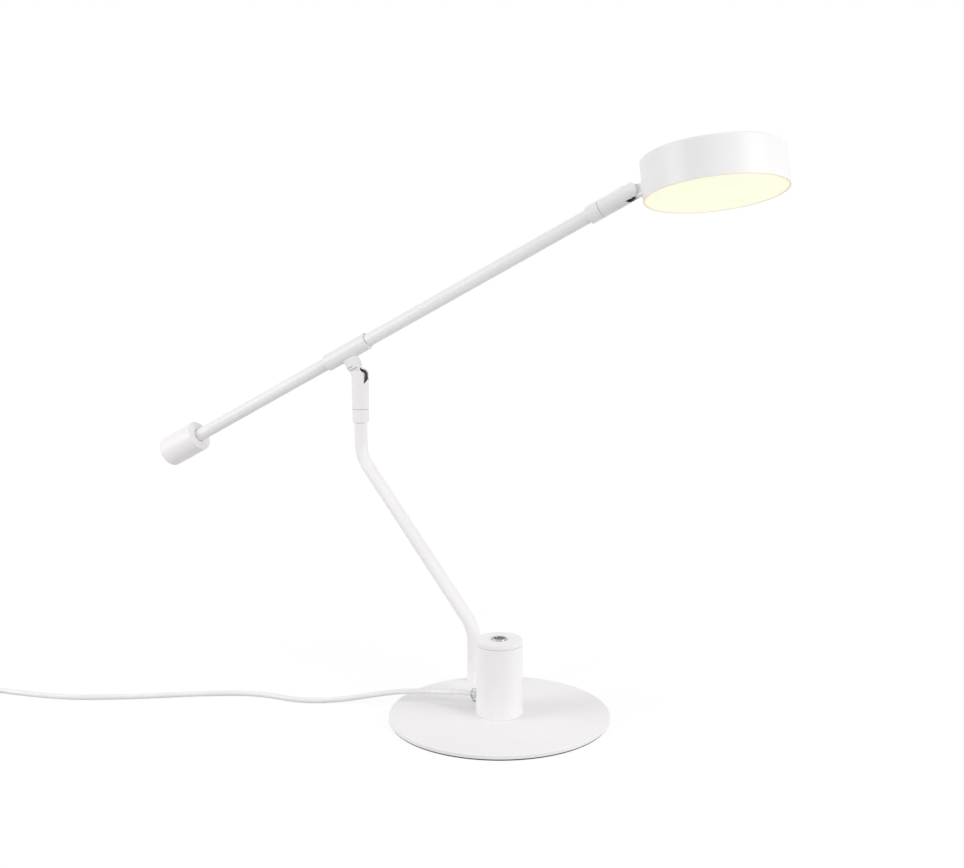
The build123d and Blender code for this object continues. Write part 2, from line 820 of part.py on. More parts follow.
def free_cord():
    leaving = [(nose_end, 0, grip_height), (nose_end - 9, 0, grip_height)]
    route = leaving + [(x, y, lift + cord_radius) for x, y, lift in cord_route]
    radii = corner_radii(route)
    print("cord run radii", [round(r) for r in radii])
    return FilletPolyline(*route, radius=radii)


def half_turn(start, way, radius, rise):
    """Two quarter arcs that turn left through half a circle and climb by rise."""
    left = Vector(-way.Y, way.X, 0)
    end = start + left * (2 * radius) + Vector(0, 0, rise)
    reach = (end - start).length / 2
    middle = (start + end) * 0.5 + way * reach
    first = TangentArc(start, middle, tangent=way)
    second = TangentArc(middle, end, tangent=first % 1)
    return [first, second], end, way * -1


def coil_path(start, way):
    """Spirals in on the lower layer, climbs in the tightest half turn and spirals out."""
    step = coil_pitch / 2
    inward = [coil_first_radius - step * i for i in range(coil_half_turns_in + 1)]
    outward = [inward[-1] + step * (i + 1) for i in range(coil_half_turns_out)]
    here, heading = start + way * cord_diameter, way
    arcs = [Line(start, here)]
    for number, radius in enumerate(inward + outward):
        rise = coil_pitch if number == coil_half_turns_in else 0.0
        pieces, here, heading = half_turn(here, heading, radius, rise)
        arcs += pieces
    left = Vector(-heading.Y, heading.X, 0)
    last_radius = outward[-1] + step
    quarter_end = here + (left + heading) * last_radius
    arcs.append(TangentArc(here, quarter_end, tangent=heading))
    tail = plug_tail(quarter_end, left)
    return Wire(arcs + tail.edges()), tail @ 1, left


def plug_tail(start, way):
    """The cord's last stretch, which drops from the coil's top layer to the plug's axis."""
    drop = Vector(0, 0, plug_thickness / 2 - start.Z)
    route = [start, start + way * 13, start + way * 24 + drop, start + way * 32 + drop]
    route = [tuple(p) for p in route]
    return FilletPolyline(*route, radius=corner_radii(route))


def self_gap(path, diameter, apart=3.0):
    """Least gap between parts of a path that are several diameters apart along it."""
    count = int(path.length / 1.5)
    points = [path @ (i / count) for i in range(count + 1)]
    skip = int(apart * diameter / 1.5)
    least = min(
        (points[i] - points[j]).length
        for i in range(count + 1)
        for j in range(i + skip, count + 1)
    )
    return least - diameter


def cord_tie(middle, way):
    """Flat band round the coil's turns, on the side that the cord comes from."""
    outer = coil_first_radius - coil_pitch / 2 + cord_radius + 0.15
    tightest = coil_first_radius - coil_pitch * (coil_half_turns_in - 1) / 2
    inner = tightest - cord_radius - 1.6
    low, high = tie_thickness, 2 * cord_diameter + tie_thickness + 0.7
    half = tie_width / 2
    edge = tie_thickness
    band = block((inner - edge, -half, 0), (outer + edge, half, high + edge))
    band -= block((inner, -half - 1, low), (outer, half + 1, high))
    return Plane(origin=(middle.X, middle.Y, 0), x_dir=way * -1).location * band


def plug_body():
    """Flat two-pin plug with sleeves round its prongs, cord end at zero and prongs towards +Z."""
    def section(width, thickness, height, corner):
        return Pos(0, 0, height) * RectangleRounded(width, thickness, corner)

    end = plug_nose_length + plug_length
    body = loft([
        section(15, 11, plug_nose_length, 4.5),
        section(25, 13, plug_nose_length + 12, 5.5),
        section(plug_width, plug_thickness, end - 9, 6.2),
        section(plug_width, plug_thickness, end, 6.2),
    ], ruled=True)
    nose = Pos(0, 0, plug_nose_length / 2 + 0.5) * Cone(3.6, 5.0, plug_nose_length + 1)
    body += nose
    for side in (-1, 1):
        body += rod(prong_radius, end - 1, end + prong_sleeve, x=side * prong_spacing / 2)
        body -= rod(prong_core_radius, end - prong_root, end + prong_length, x=side * prong_spacing / 2)
    return body


def plug_prongs():
    end = plug_nose_length + plug_length
    tip = rod(prong_radius, end + prong_sleeve, end + prong_length)
    tip = fillet(tip.edges().group_by(Axis.Z)[-1], prong_tip_round)
    prong = tip + rod(prong_core_radius, end - prong_root, end + prong_sleeve)
    return together(Pos(side * prong_spacing / 2, 0, 0) * prong for side in (-1, 1))


# ---------------------------------------------------------------- assembly
def knuckle_set(frame, wire_route, prefix):
    """The fork and the hardware that turns with it."""
    return {
        prefix + "_fork": frame * fork(wire_route),
        prefix + "_spindle": frame * spindle(),
        prefix + "_spindle_nut": frame * spindle_nut(),
        prefix + "_pivot_pin": frame * pivot_pin(),
        prefix + "_friction_washers": frame * friction_washers(),
        prefix + "_wire_bush": frame * wire_bush(),
        prefix + "_joint_wire": frame * routed(wire_route, wire_radius),
    }


def cord_set():
    lead = free_cord()
    end, way = lead @ 1, lead % 1
    coil, coil_end, plug_way = coil_path(end, way)
    across = plug_way.cross(Vector(0, 0, 1))
    plug_frame = Plane(origin=coil_end, x_dir=across, z_dir=plug_way).location
    coil_middle = end + way * cord_diameter + Vector(-way.Y, way.X, 0) * coil_first_radius
    pieces = {
        "cord_lead": swept(lead, cord_radius),
        "cord_coil": swept(coil, cord_radius),
        "cord_tie": cord_tie(coil_middle, way),
        "plug_body": plug_frame * plug_body(),
        "plug_prongs": plug_frame * plug_prongs(),
    }
    print("least gap in the coil", round(self_gap(coil, cord_diameter), 2))
    for name, path in (("cord_lead", lead), ("cord_coil", coil)):
        share = pieces[name].volume / (math.pi * cord_radius**2 * path.length)
        print(name, "length", round(path.length, 1), "volume over section and length",
              round(share, 4))
    return pieces


def everything():
    nodes = {
        "base_plate": base_plate(),
        "base_pad": base_pad(),
        "control_housing": housing(),
        "housing_screws": housing_screws(),
        "housing_cap": housing_cap(),
        "button_bezel": button_bezel(),
        "bezel_nut": bezel_nut(),
        "push_button": push_button(),
        "switch_plunger": switch_plunger(),
        "control_board": control_board(),
        "board_screws": board_screws(),
        "tact_switch": tact_switch(),
        "driver_cradle": driver_cradle(),
        "driver_board": driver_board(),
        "driver_parts": driver_parts(),
        "stem_tube": stem_tube(),
        "stem_wire": routed(under_wire_route, wire_radius, stem_wire_radii),
        "stem_collar": lower_fork_frame * knuckle_collar(),
        "lower_swivel_washer": lower_fork_frame * swivel_washer(),
        "arm_tongue": arm_tongue(),
        "arm_sleeve": arm_frame * arm_sleeve(),
        "arm_tube": arm_frame * arm_tube(),
        "sleeve_screw": arm_frame * sleeve_screw(),
        "counterweight": arm_frame * counterweight(),
        "counterweight_screw": arm_frame * counterweight_screw(),
        "arm_wire": arm_frame * arm_wire(),
        "arm_collar": upper_fork_frame * knuckle_collar(),
        "upper_swivel_washer": upper_fork_frame * swivel_washer(),
        "head_neck": neck(),
        "neck_nut": neck_frame * neck_nut(),
        "head_shell": head_frame * head_shell(),
        "diffuser": head_frame * diffuser(),
        "reflector": head_frame * reflector(),
        "led_board": head_frame * led_board(),
        "led_chips": head_frame * led_chips(),
        "led_board_screws": head_frame * led_board_screws(),
        "head_wire": head_frame * head_wire(),
        "cord_grip": cord_grip(),
        "grip_screw": grip_screw(),
        "grip_nut": grip_nut(),
        "mains_tail": mains_tail(),
    }
    nodes.update(knuckle_set(lower_fork_frame, lower_wire_route, "lower"))
    nodes.update(knuckle_set(upper_fork_frame, upper_wire_route, "upper"))
    nodes.update(cord_set())
    return nodes


os.makedirs("parts", exist_ok=True)
for node, shape in everything().items():
    export_step(shape, f"parts/{node}.step")
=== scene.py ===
# %% [markdown]
# # A counterweight desk lamp
#
# This file dresses a lamp whose engineering model is already packed as a fixed frame. Every
# length below is in metres, in that model's own frame: the origin is the middle of the round
# base on the table, Z is up, and the arm lies in a plane parallel to XZ with the lamp head
# towards +X. `MM` turns the millimetres that a lamp maker would write into metres.

import json
import math

import bmesh
import bpy
from mathutils import Matrix, Vector


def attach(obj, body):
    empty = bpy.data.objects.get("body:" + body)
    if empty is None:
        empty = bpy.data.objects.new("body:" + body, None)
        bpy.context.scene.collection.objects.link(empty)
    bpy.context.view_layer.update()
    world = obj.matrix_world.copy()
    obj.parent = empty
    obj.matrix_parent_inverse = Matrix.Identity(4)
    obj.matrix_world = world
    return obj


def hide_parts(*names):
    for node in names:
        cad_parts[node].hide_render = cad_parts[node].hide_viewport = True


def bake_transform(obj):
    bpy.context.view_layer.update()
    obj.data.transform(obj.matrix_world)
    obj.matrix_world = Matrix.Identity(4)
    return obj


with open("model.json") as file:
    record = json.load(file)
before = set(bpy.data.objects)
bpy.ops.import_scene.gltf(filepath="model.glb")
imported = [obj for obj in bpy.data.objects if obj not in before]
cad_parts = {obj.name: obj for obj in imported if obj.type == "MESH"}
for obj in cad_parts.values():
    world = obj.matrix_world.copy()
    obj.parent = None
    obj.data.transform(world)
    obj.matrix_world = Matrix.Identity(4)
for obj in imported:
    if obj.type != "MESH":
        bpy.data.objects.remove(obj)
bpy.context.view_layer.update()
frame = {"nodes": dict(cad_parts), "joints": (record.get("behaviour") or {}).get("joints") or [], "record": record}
MM = 0.001

# %% [markdown]
# ## The camera
#
# The photograph was taken from in front and slightly above, with a long lens. The lens and the
# place of the camera were worked out from the ellipses of the base and the head and from the
# edges of the arm. A camera looks along its own -Z with +Y up, so its matrix is made from the
# three directions right, up and back.

# %% Camera
photo_width, focal_length, sensor_width = 964, 1409.86, 36.0
camera_place = (0.472672, -1.124979, 0.466447)
shot_right = Vector((0.917204, 0.398411, -0.002186)).normalized()
shot_forward = Vector((-0.393240, 0.904391, -0.165650)).normalized()
shot_up = shot_right.cross(shot_forward).normalized()
shot_right = shot_forward.cross(shot_up).normalized()
camera_data = bpy.data.cameras.new("photo_camera")
camera_data.sensor_fit = "HORIZONTAL"
camera_data.sensor_width = sensor_width
camera_data.lens = sensor_width * focal_length / photo_width
camera_data.clip_start = 0.05
camera = bpy.data.objects.new("photo_camera", camera_data)
bpy.context.scene.collection.objects.link(camera)
turn = Matrix((shot_right, shot_up, -shot_forward)).transposed().to_4x4()
camera.matrix_world = Matrix.Translation(camera_place) @ turn
bpy.context.scene.camera = camera
print("lens", round(camera_data.lens, 2), "mm")

# %% [markdown]
# ## The floor, the background and the light
#
# The lamp stands in a white studio: the floor runs into the background with no line. The floor
# and the world show plain white to the camera and to anything shiny or clear, and the floor keeps
# only a share of its own shading near the lamp, which is what its soft shadow is drawn with. That
# share fades to nothing with distance, so no horizon shows. The lamp itself is lit by the world
# and by three soft boxes, at the right, above and in front on the left, so it keeps its shading.

# %% What the camera sees behind the lamp
studio_level, plain_white = 0.55, 1.0
bpy.context.scene.view_settings.view_transform = "Standard"


def feed(tree, socket, value):
    """Gives an input its value, which is another node's output or a number."""
    if isinstance(value, bpy.types.NodeSocket):
        tree.links.new(value, socket)
    else:
        socket.default_value = value


def calculate(tree, operation, first, second=0.0):
    """A Math node's result; either side is an output or a number."""
    node = tree.nodes.new("ShaderNodeMath")
    node.operation = operation
    feed(tree, node.inputs[0], first)
    feed(tree, node.inputs[1], second)
    return node.outputs[0]


def white_to_camera(tree):
    """A value that is 1 for what the camera, a shiny surface or clear plastic sees."""
    path = tree.nodes.new("ShaderNodeLightPath")
    total = path.outputs["Is Camera Ray"]
    for ray in ("Is Glossy Ray", "Is Transmission Ray"):
        total = calculate(tree, "MAXIMUM", total, path.outputs[ray])
    return total


def spread(tree, value, low, high, start=0.0, end=1.0):
    """The value moved from the range start..end to the range low..high."""
    node = tree.nodes.new("ShaderNodeMapRange")
    node.inputs["From Min"].default_value = start
    node.inputs["From Max"].default_value = end
    node.inputs["To Min"].default_value = low
    node.inputs["To Max"].default_value = high
    tree.links.new(value, node.inputs["Value"])
    return node.outputs["Result"]


world = bpy.data.worlds.new("studio")
bpy.context.scene.world = world
world.use_nodes = True
tree = world.node_tree
tree.nodes.clear()
sky = tree.nodes.new("ShaderNodeBackground")
sky.inputs["Color"].default_value = (1, 1, 1, 1)
level = spread(tree, white_to_camera(tree), studio_level, plain_white)
tree.links.new(level, sky.inputs["Strength"])
out = tree.nodes.new("ShaderNodeOutputWorld")
tree.links.new(sky.outputs["Background"], out.inputs["Surface"])

# %% The studio floor
floor_radius, floor_bounce, floor_glow = 6.0, 0.62, 1.015
glow_near_lamp, fade_start, fade_end = 0.84, 0.25, 0.8
floor_mesh = bpy.data.meshes.new("studio_floor")
sheet = bmesh.new()
bmesh.ops.create_circle(sheet, cap_ends=True, segments=64, radius=floor_radius)
sheet.to_mesh(floor_mesh)
sheet.free()
floor = bpy.data.objects.new("studio_floor", floor_mesh)
bpy.context.scene.collection.objects.link(floor)

floor_paint = bpy.data.materials.new("studio_floor")
floor_paint.use_nodes = True
tree = floor_paint.node_tree
tree.nodes.clear()
seen = white_to_camera(tree)
matte = tree.nodes.new("ShaderNodeBsdfDiffuse")
shade = tree.nodes.new("ShaderNodeCombineColor")
for channel in ("Red", "Green", "Blue"):
    tree.links.new(spread(tree, seen, floor_bounce, plain_white), shade.inputs[channel])
tree.links.new(shade.outputs["Color"], matte.inputs["Color"])
glow = tree.nodes.new("ShaderNodeEmission")
glow.inputs["Color"].default_value = (1, 1, 1, 1)
glow.inputs["Strength"].default_value = floor_glow
place = tree.nodes.new("ShaderNodeTexCoord")
distance = tree.nodes.new("ShaderNodeVectorMath")
distance.operation = "LENGTH"
tree.links.new(place.outputs["Object"], distance.inputs[0])
fade = spread(tree, distance.outputs["Value"], glow_near_lamp, 1.0, fade_start, fade_end)
mix = tree.nodes.new("ShaderNodeMixShader")
tree.links.new(calculate(tree, "MULTIPLY", seen, fade), mix.inputs["Fac"])
tree.links.new(matte.outputs[0], mix.inputs[1])
tree.links.new(glow.outputs[0], mix.inputs[2])
out = tree.nodes.new("ShaderNodeOutputMaterial")
tree.links.new(mix.outputs[0], out.inputs["Surface"])
floor_mesh.materials.append(floor_paint)
print("studio floor", len(floor_mesh.vertices), "corners")


# %% Soft lamps
def soft_lamp(name, place, target, size, watts):
    """A square soft box that faces its target."""
    data = bpy.data.lights.new(name, "AREA")
    data.shape = "SQUARE"
    data.size = size
    data.energy = watts
    lamp = bpy.data.objects.new(name, data)
    away = (Vector(place) - Vector(target)).normalized()
    spin = away.to_track_quat("Z", "Y").to_matrix().to_4x4()
    lamp.matrix_world = Matrix.Translation(place) @ spin
    bpy.context.scene.collection.objects.link(lamp)


lamp_target = (0.0, 0.0, 0.2)
for name, place, size, watts in (
    ("key_right", (2.03, -0.3, 1.0), 1.2, 23.0),
    ("overhead", (-0.2, 0.2, 2.2), 1.6, 6.2),
    ("front_left", (-1.73, -1.45, 0.9), 1.2, 21.0),
):
    soft_lamp(name, place, lamp_target, size, watts)
    print(name, watts, "W")

# %% [markdown]
# ## Finishes
#
# Every surface of the lamp gets a procedural material. Patterns read Object coordinates, which are
# metres in the lamp's own frame, so a grain keeps its real size on every piece. An effect that
# several finishes share, such as the orange peel of powder coat, the grain of moulded plastic or
# the rings that a lathe leaves, is a node group with named inputs, built once and placed in each
# material with its own values. The group gives heights and masks, and the material itself holds
# the shader.


# %% Shared effects
def noise(tree, place, scale, detail=2.0):
    """A Noise Texture's value at a place; scale is an output or a number, per metre."""
    node = tree.nodes.new("ShaderNodeTexNoise")
    node.inputs["Detail"].default_value = detail
    feed(tree, node.inputs["Vector"], place)
    feed(tree, node.inputs["Scale"], scale)
    return node.outputs["Fac"]


def from_axis(tree, place):
    """How far a place is from the Z axis that it is told from."""
    split = tree.nodes.new("ShaderNodeSeparateXYZ")
    tree.links.new(place, split.inputs[0])
    squares = [calculate(tree, "POWER", split.outputs[axis], 2.0) for axis in ("X", "Y")]
    return calculate(tree, "SQRT", calculate(tree, "ADD", *squares))


def peel_height(tree, place, grain):
    """Orange peel with a faint speckle 4.5 times finer in it."""
    peel = noise(tree, place, grain)
    speckle = noise(tree, place, calculate(tree, "MULTIPLY", grain, 4.5), 1.0)
    return calculate(tree, "ADD", peel, calculate(tree, "MULTIPLY", speckle, 0.10))


def mould_height(tree, place, grain):
    """The small cells that an etched mould leaves."""
    cells = tree.nodes.new("ShaderNodeTexVoronoi")
    feed(tree, cells.inputs["Vector"], place)
    feed(tree, cells.inputs["Scale"], grain)
    return cells.outputs["Distance"]


def ring_height(tree, place, rings):
    """Fine turning marks round the housing's own axis."""
    phase = calculate(tree, "MULTIPLY", from_axis(tree, place), rings)
    return calculate(tree, "SINE", phase)


def skin_effect(name, label, usual, height, tone_scale, polish_scale):
    """A node group that gives a skin's height, tone and polish at a place."""
    group = bpy.data.node_groups.new(name, "ShaderNodeTree")
    add_socket = group.interface.new_socket
    add_socket(name="Place", in_out="INPUT", socket_type="NodeSocketVector")
    add_socket(name=label, in_out="INPUT", socket_type="NodeSocketFloat").default_value = usual
    for output in ("Height", "Tone", "Polish"):
        add_socket(name=output, in_out="OUTPUT", socket_type="NodeSocketFloat")
    given = group.nodes.new("NodeGroupInput").outputs
    result = group.nodes.new("NodeGroupOutput").inputs
    group.links.new(height(group, given["Place"], given[label]), result["Height"])
    group.links.new(noise(group, given["Place"], tone_scale), result["Tone"])
    group.links.new(noise(group, given["Place"], polish_scale), result["Polish"])
    return group


coat_skin = skin_effect("coat_skin", "Grain", 700.0, peel_height, 14.0, 55.0)
mould_grain = skin_effect("mould_grain", "Grain", 2500.0, mould_height, 40.0, 220.0)
lathe_rings = skin_effect("lathe_rings", "Rings", 9000.0, ring_height, 300.0, 900.0)
print("shared effects", [group.name for group in bpy.data.node_groups])

# %% [markdown]
# A finish is one Principled shader. Its colour moves a little between two tones, its roughness
# between two polishes, and its skin comes from a Bump node whose height is a fraction of a
# millimetre. A number that is the same everywhere, such as how metallic it is, is set on the
# shader's own socket.


# %% One way to make a finish
def object_place(tree, centre=None):
    """Object coordinates, or the same seen from a piece's own centre and axis."""
    place = tree.nodes.new("ShaderNodeTexCoord").outputs["Object"]
    if centre is None:
        return place
    mapping = tree.nodes.new("ShaderNodeMapping")
    mapping.vector_type = "TEXTURE"
    mapping.inputs["Location"].default_value = centre.to_translation()
    mapping.inputs["Rotation"].default_value = centre.to_euler()
    tree.links.new(place, mapping.inputs["Vector"])
    return mapping.outputs["Vector"]


def blended(tree, value, low_colour, high_colour, start=0.35, end=0.65):
    """A colour between two, by a value between start and end."""
    mixer = tree.nodes.new("ShaderNodeMix")
    mixer.data_type = "RGBA"
    colours = [socket for socket in mixer.inputs if socket.type == "RGBA"]
    colours[0].default_value = (*low_colour, 1.0)
    colours[1].default_value = (*high_colour, 1.0)
    tree.links.new(spread(tree, value, 0.0, 1.0, start, end), mixer.inputs["Factor"])
    return next(socket for socket in mixer.outputs if socket.type == "RGBA")


def finish(name, skin, grain, colours, roughness, bump_height, centre=None, **plain):
    """A material: two tones, two polishes, a skin group and plain shader values."""
    material = bpy.data.materials.new(name)
    material.use_nodes = True
    tree = material.node_tree
    shader = tree.nodes["Principled BSDF"]
    group = tree.nodes.new("ShaderNodeGroup")
    group.node_tree = skin
    group.inputs[1].default_value = grain
    tree.links.new(object_place(tree, centre), group.inputs["Place"])
    colour = blended(tree, group.outputs["Tone"], *colours)
    tree.links.new(colour, shader.inputs["Base Color"])
    polish = spread(tree, group.outputs["Polish"], *roughness, 0.3, 0.7)
    tree.links.new(polish, shader.inputs["Roughness"])
    bump = tree.nodes.new("ShaderNodeBump")
    bump.inputs["Distance"].default_value = bump_height
    tree.links.new(group.outputs["Height"], bump.inputs["Height"])
    tree.links.new(bump.outputs["Normal"], shader.inputs["Normal"])
    for label, value in plain.items():
        shader.inputs[label.replace("_", " ")].default_value = value
    return material


# %% [markdown]
# The lamp's white is a satin powder coat: a faint orange peel about a millimetre wide, a finer
# speckle in it and a white that leans a hair towards pink, as in the photograph. Aluminium pieces
# carry a thinner coat than the steel ones, so their peel is finer. Each row of a table below is
# one finish: the grain of its skin, a darker and a lighter tone, the range of its roughness and
# the height of its bumps in metres.

# %% Powder coat, pad and plated metals
finishes = {}


def add_finishes(skin, rows, **plain):
    """Makes the finishes of a table that share a skin and plain shader values."""
    for name, (grain, dark, light, roughness, bump_height) in rows.items():
        finishes[name] = finish(name, skin, grain, (dark, light), roughness, bump_height, **plain)


steel_paint, light_paint = "white_painted_steel", "white_painted_aluminium"
add_finishes(coat_skin, {
    steel_paint: (700.0, (0.878, 0.857, 0.864), (0.902, 0.881, 0.888), (0.36, 0.46), 2.5e-6),
    light_paint: (950.0, (0.843, 0.830, 0.834), (0.867, 0.854, 0.858), (0.36, 0.44), 1.5e-6),
})
add_finishes(mould_grain, {
    "dark_pad": (900.0, (0.050, 0.050, 0.054), (0.085, 0.085, 0.090), (0.80, 0.95), 2.5e-4),
})
add_finishes(coat_skin, {
    "zinc_steel": (1600.0, (0.48, 0.49, 0.51), (0.66, 0.67, 0.69), (0.22, 0.42), 4e-6),
    "brass": (2400.0, (0.56, 0.36, 0.13), (0.70, 0.47, 0.19), (0.18, 0.34), 3e-6),
    "prong_brass": (2000.0, (0.55, 0.53, 0.49), (0.70, 0.68, 0.63), (0.14, 0.26), 3e-6),
}, Metallic=1.0)
add_finishes(lathe_rings, {
    # The chrome's mid grey tones are a painted dark reflection of the room.
    "bezel_chrome": (16000.0, (0.42, 0.43, 0.44), (0.50, 0.51, 0.52), (0.07, 0.16), 1.2e-6),
    # The button's dark grey tones are a painted reflection of a dark room.
    "button_metal": (21000.0, (0.12, 0.12, 0.125), (0.17, 0.17, 0.18), (0.26, 0.40), 2e-6),
}, Metallic=1.0)
print("finishes so far", len(finishes))

# %% [markdown]
# Plastics are moulded, so they carry the fine grain of the mould. The cord and the plug are soft
# glossy PVC, the wires at the joints are black silicone, and the bushes and bands are nylon. The
# grip is clear, so most of the light goes through it.

# %% Moulded plastics, cord and wire
add_finishes(mould_grain, {
    "dark_plastic": (2600.0, (0.022, 0.022, 0.024), (0.034, 0.034, 0.036), (0.40, 0.55), 2e-5),
    "inner_plastic": (2200.0, (0.78, 0.78, 0.75), (0.84, 0.84, 0.82), (0.50, 0.62), 2e-5),
    "black_wire": (3200.0, (0.008, 0.008, 0.008), (0.014, 0.014, 0.015), (0.22, 0.32), 6e-6),
    "grey_nylon": (2600.0, (0.15, 0.15, 0.155), (0.20, 0.20, 0.205), (0.42, 0.55), 1.5e-5),
    "white_nylon": (2400.0, (0.74, 0.73, 0.70), (0.80, 0.79, 0.76), (0.40, 0.52), 1.5e-5),
    "white_cord": (3000.0, (0.82, 0.82, 0.82), (0.87, 0.87, 0.87), (0.24, 0.34), 2e-6),
    "tie_plastic": (2000.0, (0.60, 0.60, 0.60), (0.68, 0.68, 0.68), (0.45, 0.60), 3e-5),
    "plug_plastic": (2400.0, (0.80, 0.80, 0.80), (0.85, 0.85, 0.85), (0.28, 0.40), 1.8e-5),
})
add_finishes(mould_grain, {
    "clear_plastic": (1800.0, (0.88, 0.90, 0.91), (0.93, 0.945, 0.95), (0.05, 0.12), 1.2e-5),
}, Transmission_Weight=0.9, IOR=1.49)
print("finishes so far", len(finishes))

# %% [markdown]
# The circuit boards are hidden in the housing and in the head. Copper tracks show through their
# lacquer as lighter lines, which a brick pattern of thin mortar gives, and the light-emitting
# chips are domes of yellow phosphor.


# %% Circuit boards and light chips
def board_finish(name, lacquer, track):
    """Lacquer over copper tracks."""
    material = finish(name, mould_grain, 2600.0, (lacquer, lacquer), (0.26, 0.36), 1e-5)
    tree = material.node_tree
    tracks = tree.nodes.new("ShaderNodeTexBrick")
    tracks.inputs["Scale"].default_value = 90.0
    tracks.inputs["Mortar Size"].default_value = 0.035
    tracks.inputs["Color1"].default_value = (*lacquer, 1.0)
    tracks.inputs["Color2"].default_value = (*(0.92 * c for c in lacquer), 1.0)
    tracks.inputs["Mortar"].default_value = (*track, 1.0)
    tree.links.new(object_place(tree), tracks.inputs["Vector"])
    tree.links.new(tracks.outputs["Color"], tree.nodes["Principled BSDF"].inputs["Base Color"])
    finishes[name] = material


board_finish("circuit_board", (0.012, 0.090, 0.035), (0.035, 0.20, 0.085))
board_finish("board_aluminium", (0.80, 0.80, 0.78), (0.72, 0.70, 0.64))
add_finishes(mould_grain, {
    "led_yellow": (3000.0, (0.86, 0.58, 0.05), (0.93, 0.68, 0.09), (0.14, 0.24), 1e-5),
}, Coat_Weight=0.6)
print("finishes so far", len(finishes))

# %% [markdown]
# ## Places on the lamp
#
# The joints come with the frame, so their places and directions are read from it. Each piece is
# drawn in millimetres in a simple seat of its own, with Z along its axis, and is then set down in
# the lamp's frame. A fork's Z runs from the seam that it swivels on to the pivot, a tongue's from
# the pivot to its boss, and X is the side that the wire comes out of.

# %% Seats for the pieces
arm_rise, drum_reach, head_rest_turn = 29.0, 79.65, 17.24
joints = {joint["name"]: joint for joint in frame["joints"]}
lower_seam, lower_pivot, upper_seam, upper_pivot = (
    Vector(joints[name]["pos_m"])
    for name in ("arm_swivel", "arm_tilt", "head_swivel", "head_tilt")
)
along_arm = Vector(joints["head_swivel"]["axis"])
fork_across = Vector(joints["head_tilt"]["axis"])
above_arm = along_arm.cross(Vector((0, 1, 0)))
fork_down = fork_across.cross(along_arm)
head_turn = Matrix.Rotation(math.radians(head_rest_turn), 3, fork_across)
neck_way, head_down = head_turn @ along_arm, head_turn @ fork_down
arm_middle = lower_pivot + above_arm * arm_rise * MM
head_middle = upper_pivot + neck_way * drum_reach * MM


def seat(origin, x_way, z_way):
    """The matrix of a seat from its origin, its X and its Z."""
    z = Vector(z_way).normalized()
    y = z.cross(Vector(x_way)).normalized()
    axes = Matrix((y.cross(z), y, z)).transposed().to_4x4()
    return Matrix.Translation(origin) @ axes


base_seat = Matrix.Identity(4)
lower_fork_seat = seat(lower_seam, (1, 0, 0), (0, 0, 1))
tongue_seat = seat(lower_pivot, along_arm, above_arm)
arm_seat = seat(arm_middle, -above_arm, along_arm)
upper_fork_seat = seat(upper_seam, fork_down, along_arm)
neck_seat = seat(upper_pivot, head_down, neck_way)
head_seat = seat(head_middle, neck_way, -head_down)
print("lamp head at", [round(v, 4) for v in head_middle])

# %% [markdown]
# ## Turned, bent and cut shapes
#
# Almost every piece of this lamp is turned on a lathe, so the main helper does the same: it draws
# half a section, rounds each of its corners with a bevel on the corner itself, and spins it for a
# full turn. Rounding the corners in the section costs nothing and gives every edge the thin bright
# line that a painted edge has.


# %% Lathe
def turned(corners, steps=96, closed=False):
    """A section of (radius, height, rounding) corners spun about Z, in millimetres."""
    shape = bmesh.new()
    spots = [shape.verts.new((r * MM, 0.0, z * MM)) for r, z, *_ in corners]
    for a, b in zip(spots, spots[1:] + spots[: 1 if closed else 0]):
        shape.edges.new((a, b))
    for spot, (_, _, *rounding) in zip(spots, corners):
        if rounding:
            bmesh.ops.bevel(
                shape, geom=[spot], offset=rounding[0] * MM, offset_type="OFFSET",
                segments=5, profile=0.5, affect="VERTICES", material=-1,
            )
    bmesh.ops.spin(
        shape, geom=shape.verts[:] + shape.edges[:], cent=(0, 0, 0), axis=(0, 0, 1),
        angle=math.tau, steps=steps, use_merge=True,
    )
    bmesh.ops.remove_doubles(shape, verts=shape.verts[:], dist=1e-7)
    bmesh.ops.recalc_face_normals(shape, faces=shape.faces[:])
    return shape


def laid(shape, axis="Z", x=0.0, y=0.0, z=0.0):
    """The shape with its Z laid along X or Y, then moved by millimetres."""
    turns = {"X": (90, "Y"), "Y": (-90, "X"), "-X": (-90, "Y")}
    if axis in turns:
        angle, about = turns[axis]
        spin = Matrix.Rotation(math.radians(angle), 3, about)
        bmesh.ops.rotate(shape, verts=shape.verts[:], cent=(0, 0, 0), matrix=spin)
    bmesh.ops.translate(shape, verts=shape.verts[:], vec=(x * MM, y * MM, z * MM))
    return shape


def rod(radius, low, high, rounding=0.0, steps=96, **placing):
    """A round bar from low to high, rounded at both ends."""
    ends = (rounding,) if rounding else ()
    corners = [(0, low), (radius, low, *ends), (radius, high, *ends), (0, high)]
    return laid(turned(corners, steps), **placing)


def hollow(outer, inner, low, high, rounding=0.0, steps=96, **placing):
    """A round tube from low to high with softened mouths."""
    ends = (rounding,) if rounding else ()
    corners = [(r, z, *ends) for r, z in ((inner, low), (outer, low), (outer, high), (inner, high))]
    return laid(turned(corners, steps, closed=True), **placing)


def oblong(radius, low, high, stretch, z=0.0, steps=128):
    """A bar along Y that is stretched upwards (or downwards) from its middle."""
    bar = rod(radius, low, high, steps=steps, axis="Y")
    half = [spot for spot in bar.verts if spot.co.z * stretch > 1e-7]
    bmesh.ops.translate(bar, verts=half, vec=(0, 0, stretch * MM))
    return laid(bar, z=z)


def slab(low, high):
    """A box between two corners."""
    shape = bmesh.new()
    bmesh.ops.create_cube(shape, size=MM)
    bmesh.ops.scale(shape, verts=shape.verts[:], vec=[h - l for l, h in zip(low, high)])
    middle = [(h + l) / 2 * MM for l, h in zip(low, high)]
    bmesh.ops.translate(shape, verts=shape.verts[:], vec=middle)
    return shape


